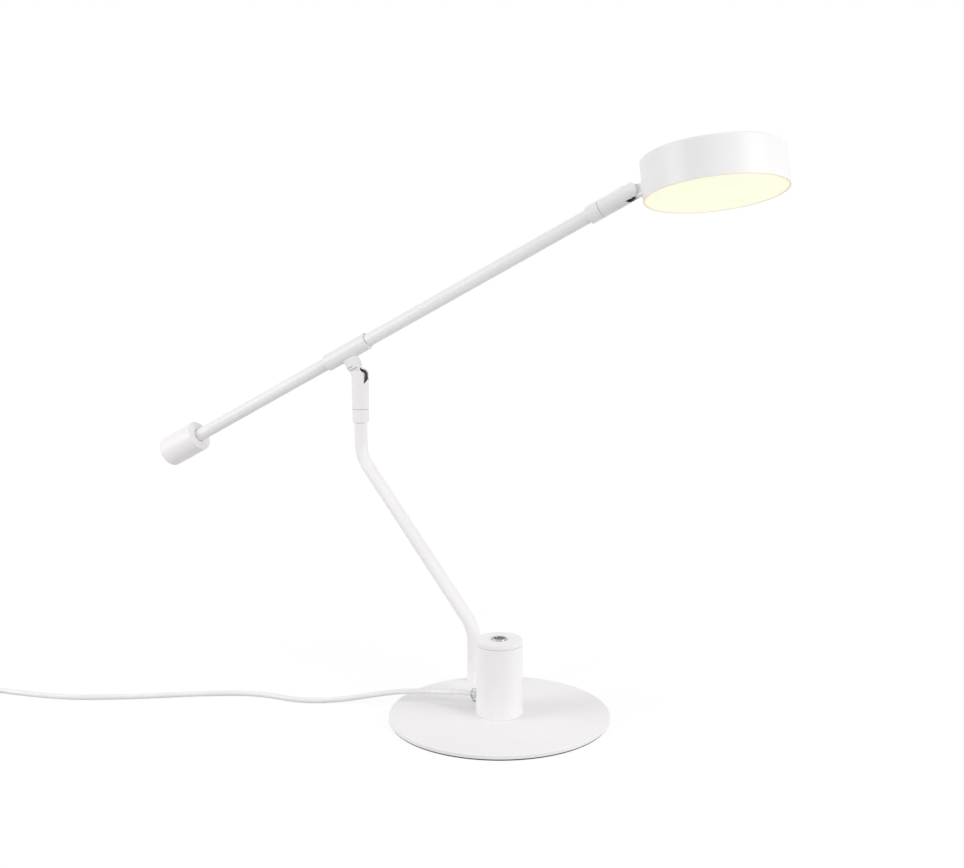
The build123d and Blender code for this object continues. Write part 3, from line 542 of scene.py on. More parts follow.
# %% [markdown]
# Where two bars meet or a slot is milled, the shape is cut: each tool shape goes into a Boolean
# modifier of a temporary object and the result is read back. A milled edge is never sharp, so the
# edges that the cut leaves are found by their angle and bevelled.


# %% Milling and softening
def temporary(shape):
    """A temporary object that holds the shape for a Boolean."""
    mesh = bpy.data.meshes.new("cutting")
    shape.to_mesh(mesh)
    shape.free()
    thing = bpy.data.objects.new("cutting", mesh)
    bpy.context.scene.collection.objects.link(thing)
    return thing


def closed_up(shape):
    """Merges the corners that a cut leaves too close together and fills any gap."""
    bmesh.ops.remove_doubles(shape, verts=shape.verts[:], dist=2e-6)
    bmesh.ops.dissolve_degenerate(shape, edges=shape.edges[:], dist=1e-6)
    gaps = [edge for edge in shape.edges if len(edge.link_faces) == 1]
    if gaps:
        bmesh.ops.holes_fill(shape, edges=gaps, sides=0)


def cut(shape, *steps):
    """The shape after steps of ("UNION", "DIFFERENCE" or "INTERSECT", tool shape)."""
    for operation, tool in steps:
        body, cutter = temporary(shape), temporary(tool)
        step = body.modifiers.new("cutting", "BOOLEAN")
        step.operation = operation
        step.solver = "EXACT"
        step.object = cutter
        seen = bpy.context.evaluated_depsgraph_get()
        shape = bmesh.new()
        shape.from_mesh(body.evaluated_get(seen).to_mesh())
        for thing in (body, cutter):
            mesh = thing.data
            bpy.data.objects.remove(thing)
            bpy.data.meshes.remove(mesh)
        closed_up(shape)
    return shape


def softened(shape, width, least_angle=28.0, segments=3):
    """Rounds every edge that is sharper than least_angle degrees."""
    bmesh.ops.dissolve_limit(
        shape, angle_limit=math.radians(1.0), verts=shape.verts[:], edges=shape.edges[:]
    )
    sharp = [
        edge for edge in shape.edges
        if len(edge.link_faces) == 2 and edge.calc_face_angle() > math.radians(least_angle)
    ]
    bmesh.ops.bevel(
        shape, geom=sharp, offset=width * MM, offset_type="OFFSET", segments=segments,
        profile=0.5, affect="EDGES", material=-1, clamp_overlap=True,
    )
    return shape


# %% [markdown]
# A finished shape becomes a piece: it is set down in its seat, gets smooth shading with the flat
# faces kept flat, rides on its body, stands for its CAD node and takes its finish.


# %% From shape to piece
def piece_from(name, shape, place, body, slot, *nodes):
    """Makes, places and finishes one piece, and sets it on its body."""
    bmesh.ops.transform(shape, matrix=place, verts=shape.verts[:])
    bmesh.ops.recalc_face_normals(shape, faces=shape.faces[:])
    mesh = bpy.data.meshes.new(name)
    shape.to_mesh(mesh)
    open_edges = sum(1 for edge in shape.edges if len(edge.link_faces) != 2)
    shape.free()
    mesh.shade_smooth()
    mesh.set_sharp_from_angle(angle=math.radians(32))
    mesh.materials.append(finishes[slot])
    piece = bpy.data.objects.new(name, mesh)
    bpy.context.scene.collection.objects.link(piece)
    shading = piece.modifiers.new("even_shading", "WEIGHTED_NORMAL")
    shading.keep_sharp = True
    shading.weight = 100
    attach(piece, body)
    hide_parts(*nodes)
    print(name, "faces", len(mesh.polygons), "open edges", open_edges)
    return piece


# %% [markdown]
# ## The base
#
# The base is a steel disc with a rolled rim on a dark pad that is a millimetre smaller all round,
# which is the thin dark line under it. The stem's foot goes through a hole in the disc, and
# `slip` is the gap that such a fit leaves all round.

# %% Base disc and pad
plate_radius, plate_low, plate_top = 100.0, 1.4, 5.0
stem_foot = (-56.9, 72.3)
tube_radius, tube_bore, slip = 6.5, 5.0, 0.05

base_section = [
    (0, plate_low), (plate_radius, plate_low, 0.3), (plate_radius, plate_top, 0.8), (0, plate_top),
]
foot_hole = rod(tube_radius + slip, 0, 9, x=stem_foot[0], y=stem_foot[1])
base_disc = cut(turned(base_section, 256), ("DIFFERENCE", foot_hole))
piece_from("base_disc", base_disc, base_seat, "base", steel_paint, "base_plate")
pad = rod(plate_radius - 1.0, 0, plate_low, 0.25, 256)
piece_from("foot_pad", pad, base_seat, "base", "dark_pad", "base_pad")

# %% [markdown]
# The control housing is a steel tube with a closed floor. Its lid is a separate cap that sits
# 0.3 mm above the tube on a skirt, and that gap is the fine seam line in the photograph. The lid
# carries the button in a polished ring, and three bosses for the board below it.

# %% Housing
housing_radius, housing_bore, housing_floor, housing_top = 21.0, 19.5, 9.0, 70.1
grip_height = 19.5

housing_section = [
    (0, plate_top), (housing_radius, plate_top, 0.25), (housing_radius, housing_top, 0.15),
    (housing_bore, housing_top, 0.2), (housing_bore, housing_floor, 0.8), (0, housing_floor),
]
grip_hole = rod(5.0, 15, 30, axis="-X", z=grip_height)
housing = cut(turned(housing_section, 160), ("DIFFERENCE", grip_hole))
piece_from("housing_tube", housing, base_seat, "base", steel_paint, "control_housing")

# %% Lid
lid_low, lid_under, lid_top = 70.4, 72.5, 74.5
skirt_radius, skirt_bore, skirt_end, boss_circle = 19.45, 17.95, 64.6, 13.5


def add_part(shape, part):
    """Puts a separate part into a shape that is a group of parts."""
    holder = bpy.data.meshes.new("holder")
    part.to_mesh(holder)
    part.free()
    shape.from_mesh(holder)
    bpy.data.meshes.remove(holder)


lid_section = [
    (6.3, lid_under), (6.3, lid_top, 0.15), (housing_radius, lid_top, 0.45),
    (housing_radius, lid_low, 0.2), (20.0, lid_low), (20.0, housing_top),
    (skirt_radius, housing_top), (skirt_radius, skirt_end, 0.2), (skirt_bore, skirt_end, 0.2),
    (skirt_bore, lid_under, 0.5),
]
lid = turned(lid_section, 160, closed=True)
for angle in (30, 150, 270):
    turned_by = math.radians(angle)
    x, y = boss_circle * math.cos(turned_by), boss_circle * math.sin(turned_by)
    add_part(lid, hollow(2.6, 1.25, 59.1, lid_under + 0.1, 0.1, 32, x=x, y=y))
piece_from("housing_lid", lid, base_seat, "base", steel_paint, "housing_cap")

# %% [markdown]
# The push button is a dished cap of polished metal. Its dark grey colour is a painted reflection
# of a dark room. The dish is a shallow bowl, so its section is a few points on a parabola, and it
# gathers a bright crescent from the lights as the real one does.
# The ring round it is polished and stands 1 mm above the lid. Its mid grey colour is a painted
# dark reflection.

# %% Button and ring
button_radius, button_top, dish_depth, dish_radius = 5.1, 75.0, 0.5, 4.6
dish = [
    (dish_radius * share, button_top - dish_depth * (1 - share**2))
    for share in (0.0, 0.15, 0.3, 0.45, 0.6, 0.75, 0.9)
]
button_section = dish + [
    (dish_radius, button_top, 0.12), (button_radius, button_top, 0.2), (button_radius, 68.05),
    (5.9, 68.05, 0.1), (5.9, 67.25, 0.1), (2.2, 67.25), (2.2, 64.1), (0, 64.1),
]
button = turned(button_section, 128)
piece_from("dished_button", button, base_seat, "button", "button_metal", "push_button")

ring_section = [
    (5.18, 68.1), (6.2, 68.1, 0.1), (6.2, lid_top), (7.35, lid_top, 0.05),
    (7.35, 75.5, 0.55), (5.18, 75.5, 0.3),
]
bezel = turned(ring_section, 128, closed=True)
piece_from("bezel_ring", bezel, base_seat, "base", "bezel_chrome", "button_bezel")

# %% [markdown]
# ## The stem
#
# The stem is one steel tube that a bender has put two bends into. The mesh is made in the same
# way: a flat ring is extruded along each straight run and spun about each bend's centre.


# %% Tube bender
def bent_tube(radius, bore, corners, bend_radius):
    """A tube along straight runs, with a bend at each inner corner, in millimetres."""
    shape = bmesh.new()
    points = [Vector(corner) * MM for corner in corners]
    ways = [(b - a).normalized() for a, b in zip(points, points[1:])]
    start_seat = seat(points[0], ways[0].orthogonal(), ways[0])
    for ring_radius in (radius, bore):
        bmesh.ops.create_circle(shape, segments=64, radius=ring_radius * MM, matrix=start_seat)
    bmesh.ops.bridge_loops(shape, edges=shape.edges[:])
    front, here = shape.faces[:], points[0].copy()
    inside = []
    for number, way in enumerate(ways):
        last = number == len(ways) - 1
        corner = points[number + 1]
        angle = 0.0 if last else way.angle(ways[number + 1])
        setback = bend_radius * MM * math.tan(angle / 2)
        run = bmesh.ops.extrude_face_region(shape, geom=front)["geom"]
        moved = [part for part in run if isinstance(part, bmesh.types.BMVert)]
        bmesh.ops.translate(shape, verts=moved, vec=corner - way * setback - here)
        front = [part for part in run if isinstance(part, bmesh.types.BMFace)]
        inside += front
        if last:
            break
        axis = way.cross(ways[number + 1]).normalized()
        centre = corner - way * setback + axis.cross(way) * bend_radius * MM
        bend = bmesh.ops.spin(
            shape, geom=front, cent=centre, axis=axis, angle=angle, steps=20
        )["geom_last"]
        front = [part for part in bend if isinstance(part, bmesh.types.BMFace)]
        inside += front
        here = corner + ways[number + 1] * setback
    buried = [face for face in inside if face.is_valid and face not in front]
    bmesh.ops.delete(shape, geom=buried, context="FACES")
    bmesh.ops.recalc_face_normals(shape, faces=shape.faces[:])
    return shape


# %% Bent stem
swivel, stem_bend = (-197.1, 109.9), 33.0
stem_corners = [(*stem_foot, plate_low), (*stem_foot, 57.0), (*swivel, 209.2), (*swivel, 249.75)]
stem = bent_tube(tube_radius, tube_bore, stem_corners, stem_bend)
piece_from("bent_stem", stem, base_seat, "base", steel_paint, "stem_tube")

# %% [markdown]
# ## The knuckles
#
# The same knuckle is used at both ends of the lamp. A collar closes the tube, and a slotted fork
# swivels on it: the joint between them is the fine line round the knuckle. The fork is a round bar
# whose end is rounded over like the end of a finger, which is the part that two crossed bars have
# in common, with a slot milled across it and a skew hole for the wire. The hole is lined with a
# bush of bare brass, the small orange glint beside the black wire in the photograph.

# %% Collars
knuckle_radius, pivot_rise = 8.5, 31.0
collar_end, collar_top = -13.55, -0.35
collar_section = [
    (tube_radius + slip, collar_end, 0.15), (knuckle_radius, collar_end, 0.9),
    (knuckle_radius, collar_top, 0.25), (3.05, collar_top), (3.05, -2.85), (5.6, -2.85),
    (5.6, -7.55), (tube_radius + slip, -7.55),
]
for name, place, body, slot, node in (
    ("stem_end_collar", lower_fork_seat, "base", steel_paint, "stem_collar"),
    ("arm_end_collar", upper_fork_seat, "arm", light_paint, "arm_collar"),
):
    collar = turned(collar_section, 96, closed=True)
    piece_from(name, collar, place, body, slot, node)

# %% Forks
slot_half, pin_radius, bush_radius, bush_bore = 5.0, 2.5, 2.1, 1.4
wire_turn = Vector((0.0, 0.0, 12.0))
mouth_way = Vector((5.0, 0.0, 11.16)).normalized()


def set_in(shape, place):
    """The shape set down in a seat inside another seat."""
    bmesh.ops.transform(shape, matrix=place, verts=shape.verts[:])
    return shape


def fork_shape(slot_floor, mouth_seat, bush_rise):
    """Round bar, finger end, milled slot, blind pin hole and the wire's skew hole."""
    bush_hole = rod(bush_radius + 0.01, -12, bush_rise + slip, steps=48)
    fork = cut(
        rod(knuckle_radius, 0, pivot_rise + knuckle_radius + 2, 0.3, 128),
        ("INTERSECT", oblong(knuckle_radius + 0.02, -12, 12, -33, pivot_rise)),
        ("DIFFERENCE", oblong(slot_floor, -slot_half, slot_half, 30, pivot_rise)),
        ("DIFFERENCE", rod(pin_radius + 0.01, -7.3, 12, steps=48, axis="Y", z=pivot_rise)),
        ("DIFFERENCE", set_in(bush_hole, mouth_seat)),
    )
    return softened(fork, 0.32)


# %% Forks, bushes and pins in place
for prefix, place, slot, slot_floor, mouth_rise, bush_rise in (
    ("lower", lower_fork_seat, steel_paint, 8.6, 13.6, 1.6),
    ("upper", upper_fork_seat, light_paint, 9.3, 12.3, 2.4),
):
    body = prefix + "_fork"
    mouth_seat = seat((wire_turn + mouth_way * mouth_rise) * MM, (0, 1, 0), mouth_way)
    fork = fork_shape(slot_floor, mouth_seat, bush_rise)
    piece_from(prefix + "_knuckle", fork, place, body, slot, prefix + "_fork")
    bush = set_in(hollow(bush_radius, bush_bore, -3.0, bush_rise, 0.12, 48), mouth_seat)
    piece_from(prefix + "_bush", bush, place, body, "brass", prefix + "_wire_bush")
    pin = rod(pin_radius, -7.2, 8.0, 0.35, 48, axis="Y", z=pivot_rise)
    driver_slot = slab((-3, 7.3, pivot_rise - 0.35), (3, 9, pivot_rise + 0.35))
    pin = softened(cut(pin, ("DIFFERENCE", driver_slot)), 0.06, 40.0, 2)
    piece_from(prefix + "_pin", pin, place, body, "zinc_steel", prefix + "_pivot_pin")

# %% [markdown]
# A flat blade stands in each fork. The arm's blade ends in a round shoulder under the sleeve, with
# half a washer on it, so that the gap to the sleeve is open on one side only. The lamp head's
# blade flares out into a neck that is cut to the drum's own radius, so that it sits tight on its
# wall. Both are bored for the wire, so the wire's path comes first and the bores follow it.

# %% The paths of the wires
arm_turn, neck_turn = 11.0, 7.6


def in_fork(spot, x_way, z_way):
    """A spot of a blade's own seat, (x, z) from the pivot, told in its fork's seat."""
    return tuple(Vector((0, 0, pivot_rise)) + x_way * spot[0] + z_way * spot[1])


arm_x, arm_z = (Vector((way.x, 0, way.z)) for way in (along_arm, above_arm))
neck_x, neck_z = (
    Vector((way.dot(fork_down), 0, way.dot(along_arm))) for way in (head_down, neck_way)
)
from_fork = [(0, 0, 0), (0, 0, 12), (4.3, 0, 21.6), (6.6, 0, 26.7)]
arm_entry = ((5.2, 6.66), (0.0, arm_turn), (0.0, 13.5))
neck_entry = ((5.9, 2.4), (0.0, neck_turn), (0.0, 10.5))
lower_route = from_fork + [(7.5, 0, 33.0), (6.3, 0, 37.6)]
lower_route += [in_fork(spot, arm_x, arm_z) for spot in arm_entry]
upper_route = from_fork + [(7.7, 0, 30.6)]
upper_route += [in_fork(spot, neck_x, neck_z) for spot in neck_entry]
print("wire points", len(lower_route), "and", len(upper_route))

# %% Blades and their bores
blade_half, blade_width = 4.5, 5.2
wire_bore, side_bore, spigot_radius = 1.65, 1.8, 5.5


def blade_shape(reach):
    """A flat blade with a round end about the pivot."""
    blade = oblong(blade_width, -blade_half, blade_half, 25, steps=96)
    return cut(blade, ("DIFFERENCE", slab((-20, -20, reach), (20, 20, 60))))


def bored(blade, entry, bore_end):
    """The blade with its wire's bore, the wire's way in at the side and the pin's hole."""
    (x, z), (_, turn), _ = entry
    side = Vector((x, 0, z - turn)).normalized()
    way_in = seat(Vector((0, 0, turn)) * MM, (0, 1, 0), side)
    blade = cut(
        blade,
        ("DIFFERENCE", rod(wire_bore, turn - 1.0, bore_end, steps=32)),
        ("DIFFERENCE", set_in(rod(side_bore, -0.6, 12, steps=32), way_in)),
        ("DIFFERENCE", rod(pin_radius + slip, -9, 9, steps=48, axis="Y")),
    )
    return softened(blade, 0.22)


# %% The arm's blade
half_washer = cut(
    rod(7.95, 12.0, 13.35, 0.1), ("DIFFERENCE", slab((-9, -9, 11), (2, 9, 14)))
)
arm_blade = cut(
    blade_shape(12.0),
    ("UNION", rod(8.0, 11.2, 12.5, 0.2)),
    ("UNION", half_washer),
    ("UNION", rod(spigot_radius, 12.3, 19.4, 0.3)),
)
arm_blade = bored(arm_blade, arm_entry, 22)
piece_from("arm_blade", arm_blade, tongue_seat, "arm", steel_paint, "arm_tongue")

# %% The lamp head's blade
drum_radius, drum_half = 64.0, 18.0
flare = [
    (0, 11.0), (4.6, 11.0), (5.2, 12.4), (5.9, 13.6), (6.8, 14.7), (8.0, 15.6), (8.0, 18.7),
    (0, 18.7),
]
head_blade = cut(
    blade_shape(17.0),
    ("UNION", turned(flare, 96)),
    ("DIFFERENCE", rod(drum_radius, -30, 30, steps=256, axis="X", z=drum_reach)),
    ("UNION", rod(spigot_radius, 14.0, 21.95, 0.3)),
)
head_blade = bored(head_blade, neck_entry, 24)
piece_from("head_blade", head_blade, neck_seat, "head", light_paint, "head_neck")

# %% [markdown]
# ## The arm
#
# The arm is one straight aluminium tube. A sleeve clamps it over the lower knuckle: it is a tube
# with a boss on its side, and each of its mouths is opened out by a step, which shows in the
# photograph as a bright thin ring. The counterweight is a solid steel cylinder, generously rounded
# at its far end and bored for the arm at the near one. A socket screw holds each of them from the
# side that the photograph doesn't show.

# %% Arm tube and sleeve
arm_tube = hollow(tube_radius, tube_bore, -240.0, 293.45, 0.25, 96)
piece_from("long_tube", arm_tube, arm_seat, "arm", light_paint, "arm_tube")

sleeve_half, step_depth, step_radius, sleeve_screw_z = 26.0, 0.6, 7.5, -18.0
step_floor = sleeve_half - step_depth
half_section = [
    (tube_radius + slip, step_floor), (step_radius, step_floor), (step_radius, sleeve_half, 0.12),
    (knuckle_radius, sleeve_half, 0.25),
]
mirrored = [(r, -z, *rounding) for r, z, *rounding in reversed(half_section)]
boss = cut(
    rod(8.0, 7.0, 15.6, 0.25, axis="X"),
    ("UNION", turned([(0, -22), (8.2, -22), (8.2, 22), (0, 22)])),
    ("DIFFERENCE", rod(tube_radius + 0.4, -30, 30)),
    ("DIFFERENCE", rod(spigot_radius + slip, 8.8, 20, axis="X")),
)
sleeve = cut(
    turned(half_section + mirrored, 128, closed=True),
    ("UNION", boss),
    ("DIFFERENCE", rod(1.9, 0, 20, steps=32, axis="X")),
    ("DIFFERENCE", rod(2.02, 0, 12, steps=48, axis="Y", z=sleeve_screw_z)),
)
piece_from("sleeve_tee", softened(sleeve, 0.18), arm_seat, "arm", light_paint, "arm_sleeve")

# %% Counterweight
weight_near, weight_far, weight_radius, weight_bore = -205.0, -250.0, 16.0, 6.9
bore_floor = weight_far + 8.0
weight_section = [
    (0, weight_far), (weight_radius, weight_far, 3.5), (weight_radius, weight_near, 0.8),
    (weight_bore, weight_near, 0.3), (weight_bore, bore_floor), (0, bore_floor),
]
weight_screw_z = (weight_near + weight_far) / 2
screw_hole = rod(2.52, 8, 20, steps=48, axis="Y", z=weight_screw_z)
weight = cut(turned(weight_section, 128), ("DIFFERENCE", screw_hole))
piece_from("balance_weight", weight, arm_seat, "arm", steel_paint, "counterweight")


# %% Socket screws
def socket_screw(radius, low, high, across):
    """A headless screw along Y with a six-sided socket in its end."""
    socket = bmesh.new()
    bmesh.ops.create_cone(
        socket, cap_ends=True, segments=6, depth=4 * MM,
        radius1=across / math.sqrt(3) * MM, radius2=across / math.sqrt(3) * MM,
    )
    screw = rod(radius, low, high, 0.3, 48, axis="Y")
    return cut(screw, ("DIFFERENCE", laid(socket, "Y", y=high)))


for name, node, size, along in (
    ("sleeve_grub_screw", "sleeve_screw", (2.0, 5.4, 8.0, 2.0), sleeve_screw_z),
    ("weight_grub_screw", "counterweight_screw", (2.5, 5.4, 15.0, 2.5), weight_screw_z),
):
    screw = laid(socket_screw(*size), z=along)
    piece_from(name, screw, arm_seat, "arm", "zinc_steel", node)

# %% [markdown]
# ## The lamp head
#
# The head is a shallow drum of spun aluminium, open below, with a small ledge inside that carries
# the diffuser. The photograph shows its top edge as a thin grey line, which is its small rounding.

# %% Drum
head_section = [
    (0, drum_half), (drum_radius, drum_half, 1.5), (drum_radius, -drum_half, 0.25),
    (63.0, -drum_half, 0.2), (63.0, -15.9), (62.3, -15.9), (62.3, -14.9), (63.0, -14.9),
    (63.0, 17.0, 0.8), (0, 17.0),
]
neck_hole = rod(spigot_radius + slip, 50, 70, axis="-X")
drum = cut(turned(head_section, 256), ("DIFFERENCE", neck_hole))
piece_from("drum_shell", drum, head_seat, "head", light_paint, "head_shell")

# %% [markdown]
# The diffuser is an opal acrylic disc, lit from behind. It shines evenly in a pale warm white, and
# its rim, where the light leaks past the board behind it, is a little deeper in colour. Its own
# shade is a dim grey, so that the glow and the studio light together come to the colour of the
# photograph.

# %% Glowing disc
pale_glow, rim_glow = (0.635, 0.640, 0.455), (0.78, 0.56, 0.27)
rim_start, rim_end = 0.0600, 0.0628
opal = finish(
    "diffuser_plastic", mould_grain, 1200.0, ((0.30, 0.30, 0.27), (0.34, 0.34, 0.31)),
    (0.30, 0.42), 1e-5, centre=head_seat, Emission_Strength=1.0,
)
tree = opal.node_tree
from_middle = from_axis(tree, object_place(tree, head_seat))
light = blended(tree, from_middle, pale_glow, rim_glow, rim_start, rim_end)
tree.links.new(light, tree.nodes["Principled BSDF"].inputs["Emission Color"])
finishes["diffuser_plastic"] = opal

diffuser_section = [(0, -17.9), (62.8, -17.9, 0.4), (62.8, -16.0, 0.1), (0, -16.0)]
glowing = turned(diffuser_section, 256)
piece_from("glowing_disc", glowing, head_seat, "head", "diffuser_plastic", "diffuser")

# %% [markdown]
# ## The mains cord
#
# The real cord is a round white sheath, 5 mm thick, that leaves the housing through a clear grip,
# sinks to the table and wanders off to the left. Its route is worked out first, because the band
# and the plug lie on it. The first points follow the photograph. The put-away rest is a neat
# two-layer coil outside the view: half turns that spiral in, one that climbs to the upper layer,
# and half turns that spiral out to the plug. Six points sit outside each half turn so that the
# line, which cuts inside its points, touches it.

# %% The cord's route
cord_radius = 2.5
cord_exit = (-29.4, 0.0, 19.5)
cord_route = [
    cord_exit,
    (-38.4, 0.0, 19.5),
    (-53.5, 0.2, 17.0),
    (-74.0, 1.4, 14.6),
    (-96.0, -5.2, 13.4),
    (-113.0, -11.2, 11.0),
    (-129.0, -13.4, 7.0),
    (-147.0, -19.6, 3.6),
    (-170.0, -32.4, 2.6),
    (-192.5, -38.2, 2.5),
    (-214.0, -37.0, 2.5),
    (-238.0, -39.2, 2.5),
    (-262.0, -48.8, 2.5),
    (-290.0, -63.0, 2.5),
    (-320.0, -81.6, 2.5),
    (-352.0, -98.6, 2.5),
    (-386.0, -114.6, 2.5),
    (-422.0, -122.8, 2.5),
    (-462.0, -127.0, 2.6),
    (-496.0, -130.0, 3.1),
    (-513.0, -133.2, 3.1),
]
print("points in the shown part", len(cord_route))

# %% The coil
coil_radii_in = [38.5, 35.75, 33.0, 30.25, 27.5, 24.75]
coil_radii = coil_radii_in + [22.0] + coil_radii_in[:0:-1]
climbing_half_turn = len(coil_radii_in)
coil_climb, run_in = 5.5, 5.0
up = Vector((0, 0, 1))


def arc_points(here, heading, radius, count, rise=0.0):
    """Points outside an arc that turns left in steps of 30 degrees, and the arc's middle."""
    left = up.cross(heading)
    middle = here + left * radius
    step = math.radians(30)
    reach = radius / math.cos(step / 2)
    spots = []
    for k in range(count):
        turned_by = step * (k + 0.5)
        spoke = heading * math.sin(turned_by) - left * math.cos(turned_by)
        spots.append(middle + spoke * reach + up * (rise * (k + 0.5) / count))
    return spots, middle


shown_end = Vector(cord_route[-1])
coil_way = (shown_end - Vector(cord_route[-2])).normalized()
heading, here = coil_way.copy(), shown_end + coil_way * run_in
cord_points = [Vector(point) for point in cord_route] + [here]
for number, radius in enumerate(coil_radii):
    rise = coil_climb if number == climbing_half_turn else 0.0
    spots, middle = arc_points(here, heading, radius, 6, rise)
    cord_points += spots
    if number == 0:
        coil_middle = middle
    here = middle * 2 - here + up * (rise + 2 * (here.z - middle.z))
    heading = -heading
print("coil middle at", [round(v, 1) for v in coil_middle])

# %% The way to the plug
plug_axis_height = 6.85
off_coil, on_table, at_plug = 13.0, 24.0, 32.0
spots, middle = arc_points(here, heading, coil_radii_in[0], 3)
here = middle + heading * coil_radii_in[0]
plug_way = up.cross(heading)
drop = up * (plug_axis_height - here.z)
plug_start = here + plug_way * at_plug + drop
cord_points += spots
cord_points += [here + plug_way * off_coil, here + plug_way * on_table + drop, plug_start]
print("cord points", len(cord_points), "plug starts at", [round(v, 1) for v in plug_start])

# %% [markdown]
# ## Cord fittings
#
# The cord leaves the housing through a small clear bush: a flange that hugs the round wall, a
# short nose that tapers towards the cord, and a bore for it. The coil is held by a flat band, and
# the cord ends in a flat moulded plug whose pins have plastic sleeves.

# %% Clear grip
grip_section = [
    (2.55, 14.5), (4.9, 14.5), (4.9, 19.0), (7.25, 19.0), (7.25, 21.9, 0.4), (5.3, 21.9, 0.2),
    (4.6, 26.6, 0.6), (2.55, 26.6, 0.2),
]
grip = laid(turned(grip_section, 96, closed=True), "-X", z=grip_height)
barrel_keep = cut(
    rod(housing_radius + 0.05, 0, 40, steps=160),
    ("DIFFERENCE", rod(4.95, 0, 40, axis="-X", z=grip_height)),
)
screw_hole = rod(1.15, 0, grip_height, steps=32, x=-25.9)
grip = cut(grip, ("DIFFERENCE", barrel_keep), ("DIFFERENCE", screw_hole))
piece_from("clear_grip", grip, base_seat, "base", "clear_plastic", "cord_grip")

# %% Band round the coil
band_out, band_in, band_half = 38.5, 20.55, 4.5
coil_seat = seat(coil_middle * MM, -coil_way, up)
coil_seat.translation.z = 0.0
band = cut(
    slab((band_in - 0.5, -band_half, 0.0), (band_out + 0.5, band_half, 11.7)),
    ("DIFFERENCE", slab((band_in, -9, 0.5), (band_out, 9, 11.2))),
)
band = softened(band, 0.22, 40.0, 2)
coil_band = piece_from("coil_band", band, coil_seat, "base", "tie_plastic", "cord_tie")

# %% Plug
plug_end, prong_spacing, sleeve_length = 46.0, 19.0, 10.0


def rounded_frame(shape, width, thickness, height, corner):
    """A rectangle with round corners as a loop of edges."""
    half = Vector((width / 2, thickness / 2, 0))
    signs = ((1, 1), (-1, 1), (-1, -1), (1, -1))
    spots = [
        shape.verts.new((sx * half.x * MM, sy * half.y * MM, height * MM)) for sx, sy in signs
    ]
    loop = [shape.edges.new(pair) for pair in zip(spots, spots[1:] + spots[:1])]
    made = bmesh.ops.bevel(
        shape, geom=spots, offset=corner * MM, offset_type="OFFSET", segments=8,
        profile=0.5, affect="VERTICES", material=-1,
    )
    edges = {edge for vert in made["verts"] for edge in vert.link_edges}
    return list(edges | {edge for edge in loop if edge.is_valid})


plug_sections = [
    (7.2, 7.2, 0.0, 3.2), (8.6, 8.6, 9.0, 3.9), (14.0, 10.6, 12.6, 4.4), (19.0, 12.0, 18.0, 4.9),
    (25.0, 13.0, 24.0, 5.5), (31.5, 13.5, 31.0, 6.0), (35.0, 13.7, 37.0, 6.2),
    (35.0, 13.7, 45.4, 6.2), (34.2, 12.9, plug_end, 5.8),
]
plug = bmesh.new()
loops = [rounded_frame(plug, *section) for section in plug_sections]
for near, far in zip(loops, loops[1:]):
    bmesh.ops.bridge_loops(plug, edges=near + far)
for rim in (loops[0], loops[-1]):
    bmesh.ops.edgeloop_fill(plug, edges=rim)
bmesh.ops.recalc_face_normals(plug, faces=plug.faces[:])

# %% Pins of the plug
sleeve_end = plug_end + sleeve_length
pin_section = [(0, 0), (1.98, 0, 0.05), (1.98, 9.0, 1.2), (0, 9.0)]
prongs = bmesh.new()
for x in (-prong_spacing / 2, prong_spacing / 2):
    plug = cut(plug, ("UNION", rod(2.0, plug_end - 3.0, sleeve_end, 0.12, 48, x=x)))
    add_part(prongs, laid(turned(pin_section, 48), x=x, z=sleeve_end))
plug_seat = seat(plug_start * MM, plug_way.cross(up), plug_way)
plug_moulding = piece_from("plug_moulding", plug, plug_seat, "base", "plug_plastic", "plug_body")
plug_pins = piece_from("plug_pins", prongs, plug_seat, "base", "prong_brass", "plug_prongs")
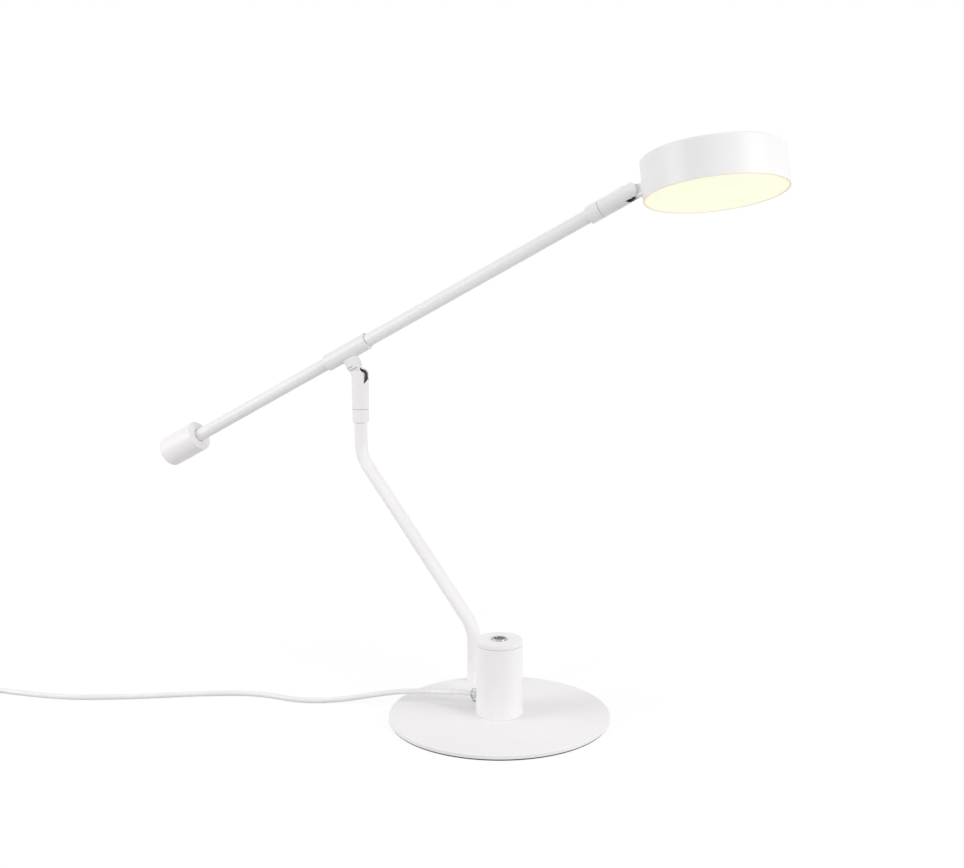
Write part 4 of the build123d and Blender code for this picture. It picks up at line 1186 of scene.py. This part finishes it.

# %% [markdown]
# The cord could be a swept mesh, but a cord is one flexible length, so it is one smooth NURBS line
# that is given a round section. The band and the plug travel with it, so it is laid only now that
# they exist.


# %% The cord as one length
def smooth_line(name, points, radius):
    """A round NURBS line through the neighbourhood of its points, in millimetres."""
    curve = bpy.data.curves.new(name, "CURVE")
    curve.dimensions = "3D"
    curve.bevel_depth = radius * MM
    curve.bevel_resolution = 6
    curve.resolution_u = 8
    curve.use_fill_caps = True
    spline = curve.splines.new("NURBS")
    spline.points.add(len(points) - 1)
    for point, place in zip(spline.points, points):
        point.co = (*(Vector(place) * MM), 1.0)
    spline.order_u = 3
    spline.use_endpoint_u = True
    line = bpy.data.objects.new(name, curve)
    bpy.context.scene.collection.objects.link(line)
    return line


mains_cord = smooth_line("mains_cord", cord_points, cord_radius)
mains_cord.data.materials.append(finishes["white_cord"])
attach(mains_cord, "base")
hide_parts("cord_lead", "cord_coil")
print("cord pieces", [piece.name for piece in (coil_band, plug_moulding, plug_pins)])

# %% [markdown]
# ## Wires at the joints
#
# A black wire leaves each fork through its bush, bows out beside the pivot and goes into the blade
# above it. It is the same kind of line as the cord, turned into a mesh at its rest place.

# %% Joint wires
wire_radius = 1.3


def joint_wire(name, node, place, route):
    """A short wire along a route in a fork's seat, as a mesh at its rest place."""
    points = [place @ (Vector(spot) * MM) / MM for spot in route]
    line = smooth_line(name + "_line", points, wire_radius)
    seen = bpy.context.evaluated_depsgraph_get()
    mesh = bpy.data.meshes.new_from_object(line.evaluated_get(seen))
    curve = line.data
    bpy.data.objects.remove(line)
    bpy.data.curves.remove(curve)
    mesh.name = name
    shape = bmesh.new()
    shape.from_mesh(mesh)
    bmesh.ops.remove_doubles(shape, verts=shape.verts[:], dist=1e-6)
    bmesh.ops.recalc_face_normals(shape, faces=shape.faces[:])
    shape.to_mesh(mesh)
    shape.free()
    mesh.shade_smooth()
    mesh.materials.clear()
    mesh.materials.append(finishes["black_wire"])
    wire = bpy.data.objects.new(name, mesh)
    bpy.context.scene.collection.objects.link(wire)
    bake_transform(wire)
    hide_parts(node)
    print(name, "faces", len(mesh.polygons))


joint_wire("lower_loop_wire", "lower_joint_wire", lower_fork_seat, lower_route)
joint_wire("upper_loop_wire", "upper_joint_wire", upper_fork_seat, upper_route)

# %% [markdown]
# ## Finishes for the pieces that stay as they are
#
# The other pieces, most of them inside, have the right shape already. Each takes the finish that
# its slot in the record names.

# %% Finish the rest
for part in frame["record"]["subparts"]:
    node = frame["nodes"][part["node"]]
    for material_slot in node.material_slots:
        material_slot.material = finishes[part["material_slot"]]
